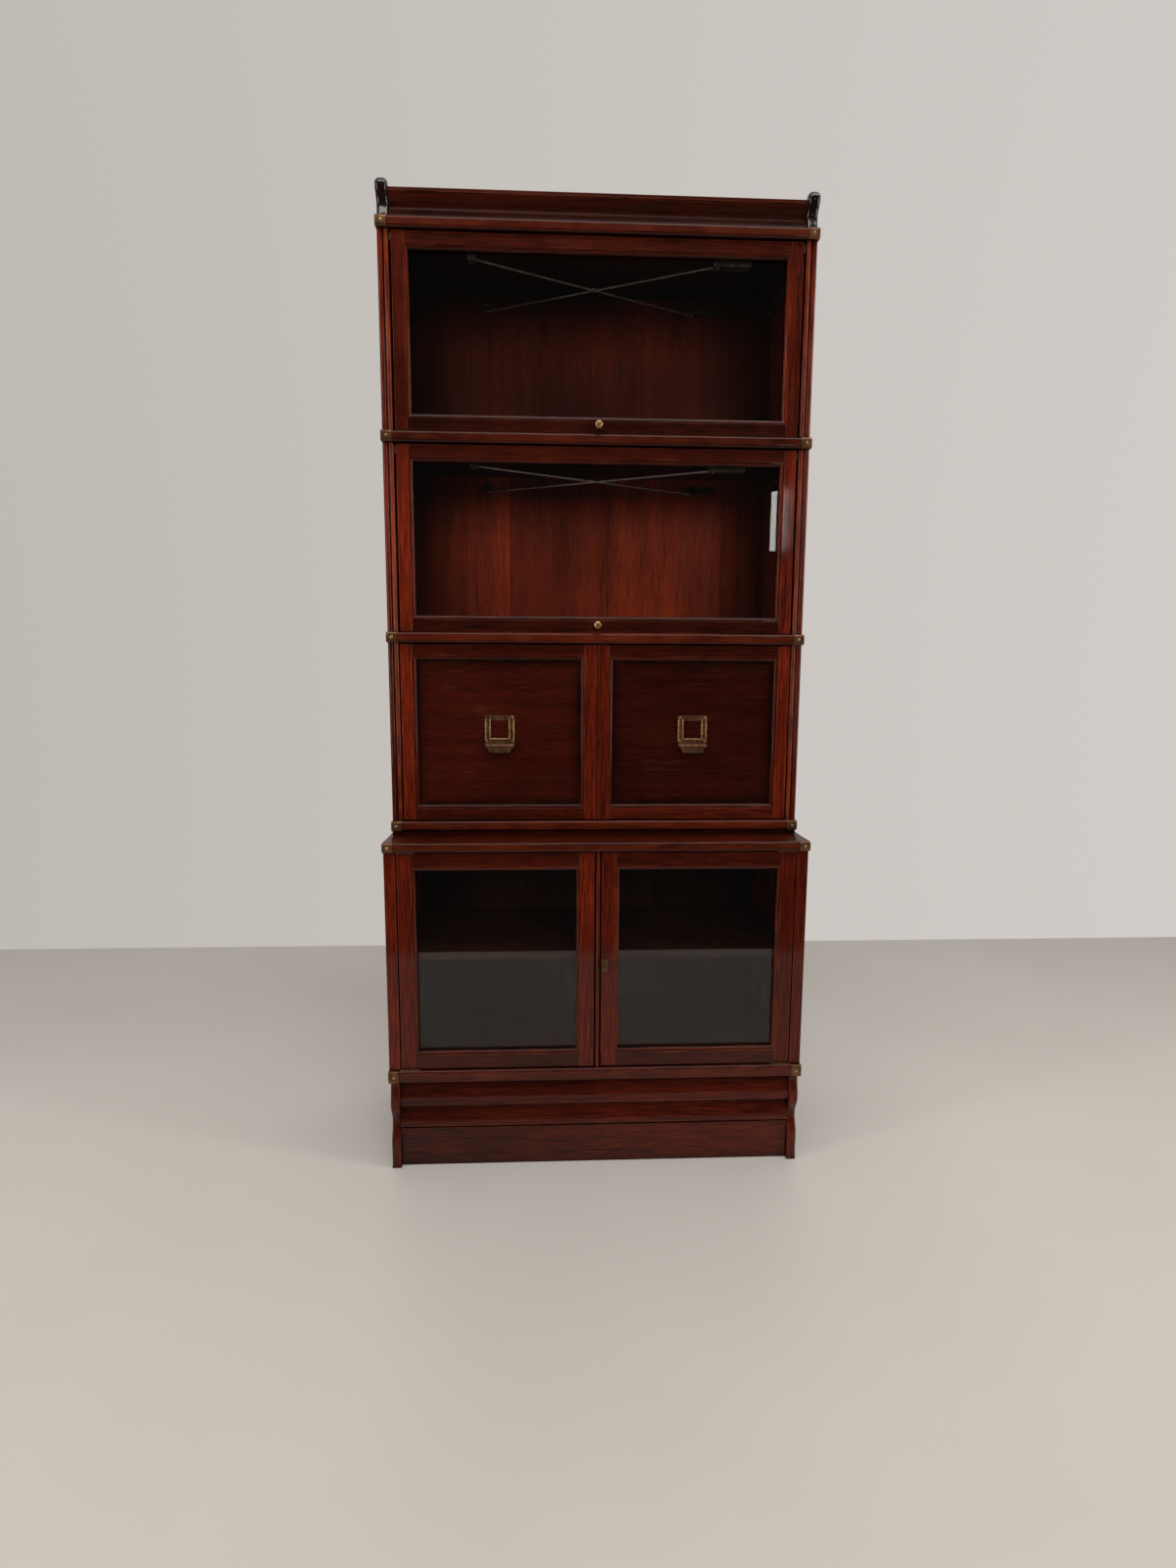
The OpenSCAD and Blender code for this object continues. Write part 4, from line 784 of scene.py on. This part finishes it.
for name, body in (("left_drawer_pull", "left_drawer"), ("right_drawer_pull", "right_drawer")):
    lo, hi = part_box(name)
    centre, y, foot = (lo.x + hi.x) / 2, hi.y, lo.z + PULL_HOOD_H
    half, window = (hi.x - lo.x) / 2, PULL_WINDOW
    sill = (foot + hi.z) / 2 - window
    head = sill + 2 * window
    work = bmesh.new()
    for x0, x1 in ((-half, -window), (window, half)):
        board(work, 2, foot, hi.z, rect(centre + x0, centre + x1, y - PULL_T, y), 0)
    for z0, z1 in ((foot, sill), (head, hi.z)):
        board(work, 2, z0, z1, rect(centre - window, centre + window, y - PULL_T + 0.1 * MM, y), 0)
    # Ribs: at each side's outer edge and beside the window, and a lip on the sill
    for rib, r in ((half - RIB_OUTER_R, RIB_OUTER_R), (window + 1.7 * MM, RIB_INNER_R)):
        for side in (-1, 1):
            round_rib = [(centre + side * rib - r * cos(a), y - PULL_T - r * 0.95 * sin(a)) for a in sweep(pi, 8)]
            board(work, 2, foot + RIB_STOP, hi.z - RIB_STOP, round_rib, 1)
    lip = [(y - PULL_T - LIP_R * sin(a), sill - 2 * LIP_R - LIP_R * cos(a)) for a in sweep(pi, 8)]
    board(work, 0, centre - window, centre + window, lip, 1)
    # The hood, row by row from its shoulder: depth, height and half its width
    rows = [(HOOD_D * sin(a), lo.z + 14 * MM + 6 * MM * cos(a), 30.6 * MM) for a in sweep(pi / 2, 8)]
    rows[0] = (1.2 * MM, rows[0][1], rows[0][2])
    rows += [(HOOD_D, lo.z + 13 * MM, 30.2 * MM), (HOOD_D, lo.z + 6.5 * MM, 23.6 * MM),
             (HOOD_D, lo.z + 5.5 * MM, 23.2 * MM), (HOOD_D - 0.4 * MM, lo.z, 21.6 * MM)]
    outer = [hood_row(work, centre, y, d, z, w) for d, z, w in rows]
    # The inner face, one thickness in, and under the shoulder one thickness down too
    inner_rows = []
    for d, z, w in rows:
        d = max(d - HOOD_T, 0.3 * MM)
        inner_rows.append(hood_row(work, centre, y, d, z - (HOOD_T if d < 9 * MM else 0), w - HOOD_T))
    for a, b in list(zip(outer, outer[1:])) + list(zip(inner_rows, inner_rows[1:])):
        for k in range(5):
            work.faces.new((a[k], a[k + 1], b[k + 1], b[k]))
    rims = [(outer[0], inner_rows[0]), (outer[-1], inner_rows[-1]),
            ([r[0] for r in outer], [r[0] for r in inner_rows]), ([r[5] for r in outer], [r[5] for r in inner_rows])]
    for a, b in rims:
        for k in range(len(a) - 1):
            work.faces.new((a[k], a[k + 1], b[k + 1], b[k]))
    pull = joinery(name + "_pressed", work, [brass, rubbed_brass], 0.3)
    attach(pull, body)
    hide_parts(name)
    spots = [((centre + side * (half - PULL_SCREW_IN), y - PULL_T, z), (0, -1, 0), random.uniform(0, pi))
             for side in (-1, 1) for z in (foot + PULL_SCREW_IN, hi.z - PULL_SCREW_IN)]
    if body == "left_drawer":
        spots = spots[:1] + spots[2:]
    heads = screws(name + "_screws", spots, PULL_SCREW_R, PULL_SCREW_H, rubbed_brass)
    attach(heads, body)

# ---------------------------------------------------------------- knobs
# Turned brass knobs, rubbed bright by fingers, each in one piece with a small
# rose. The outline gives shares of the knob's radius and of its reach.
KNOB_SIDES = 40
for name, body in (("middle_door_knob", "middle_door"), ("top_door_knob", "top_door")):
    lo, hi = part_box(name)
    x, z, reach, r = (lo.x + hi.x) / 2, (lo.z + hi.z) / 2, hi.y - lo.y, (hi.x - lo.x) / 2
    profile = [(0, 0), (0.80, 0), (0.80, 0.05), (0.72, 0.10), (0.50, 0.13), (0.40, 0.20), (0.36, 0.30), (0.42, 0.40),
               (0.62, 0.46), (0.84, 0.54), (0.96, 0.64), (1.0, 0.74), (0.95, 0.84), (0.80, 0.92), (0.55, 0.975),
               (0.28, 0.997), (0, 1.0)]
    work = bmesh.new()
    rings = []
    for radius, out_by in profile:
        turns = 1 if radius == 0 else KNOB_SIDES
        rings.append([work.verts.new((x + radius * r * cos(2 * pi * k / turns), hi.y - out_by * reach,
                                      z + radius * r * sin(2 * pi * k / turns))) for k in range(turns)])
    for a, b in zip(rings, rings[1:]):
        for k in range(KNOB_SIDES):
            corners = [a[k % len(a)], a[(k + 1) % len(a)], b[(k + 1) % len(b)], b[k % len(b)]]
            work.faces.new(list(dict.fromkeys(corners)))
    knob = joinery(name + "_turned", work, [rubbed_brass], 0)
    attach(knob, body)
    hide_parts(name)

# ---------------------------------------------------------------- small brass and steel
# Pivot plates, catch and pegs are the same aged brass. Tracks, brackets and
# carriers are browned mild steel. The arms are strip, the middle pair painted paler, as light on them in the shade
# under the top.
steel = old_metal("dull_steel", "#9a958c", "#726c62", "#c8c4bc", 0.4, 0.3)
brightened_steel = old_metal("painted_light_steel", "#e2ded6", "#bcb6ac", "#e8e4dc", 0.4, 0.3)
browned = old_metal("browned_steel", "#4a3e36", "#2c221c", "#6e6258", 0.5, 0.3)

finished(("shelf_pegs", "pivot_plates", "left_door_plates", "right_door_plates",
          "turn_catch", "catch_plate"), brass)
finished(("door_tracks", "arm_brackets", "middle_carrier", "top_carrier"), browned)
finished(("middle_arm_a", "middle_arm_b"), brightened_steel)
finished(("top_arm_a", "top_arm_b"), steel)
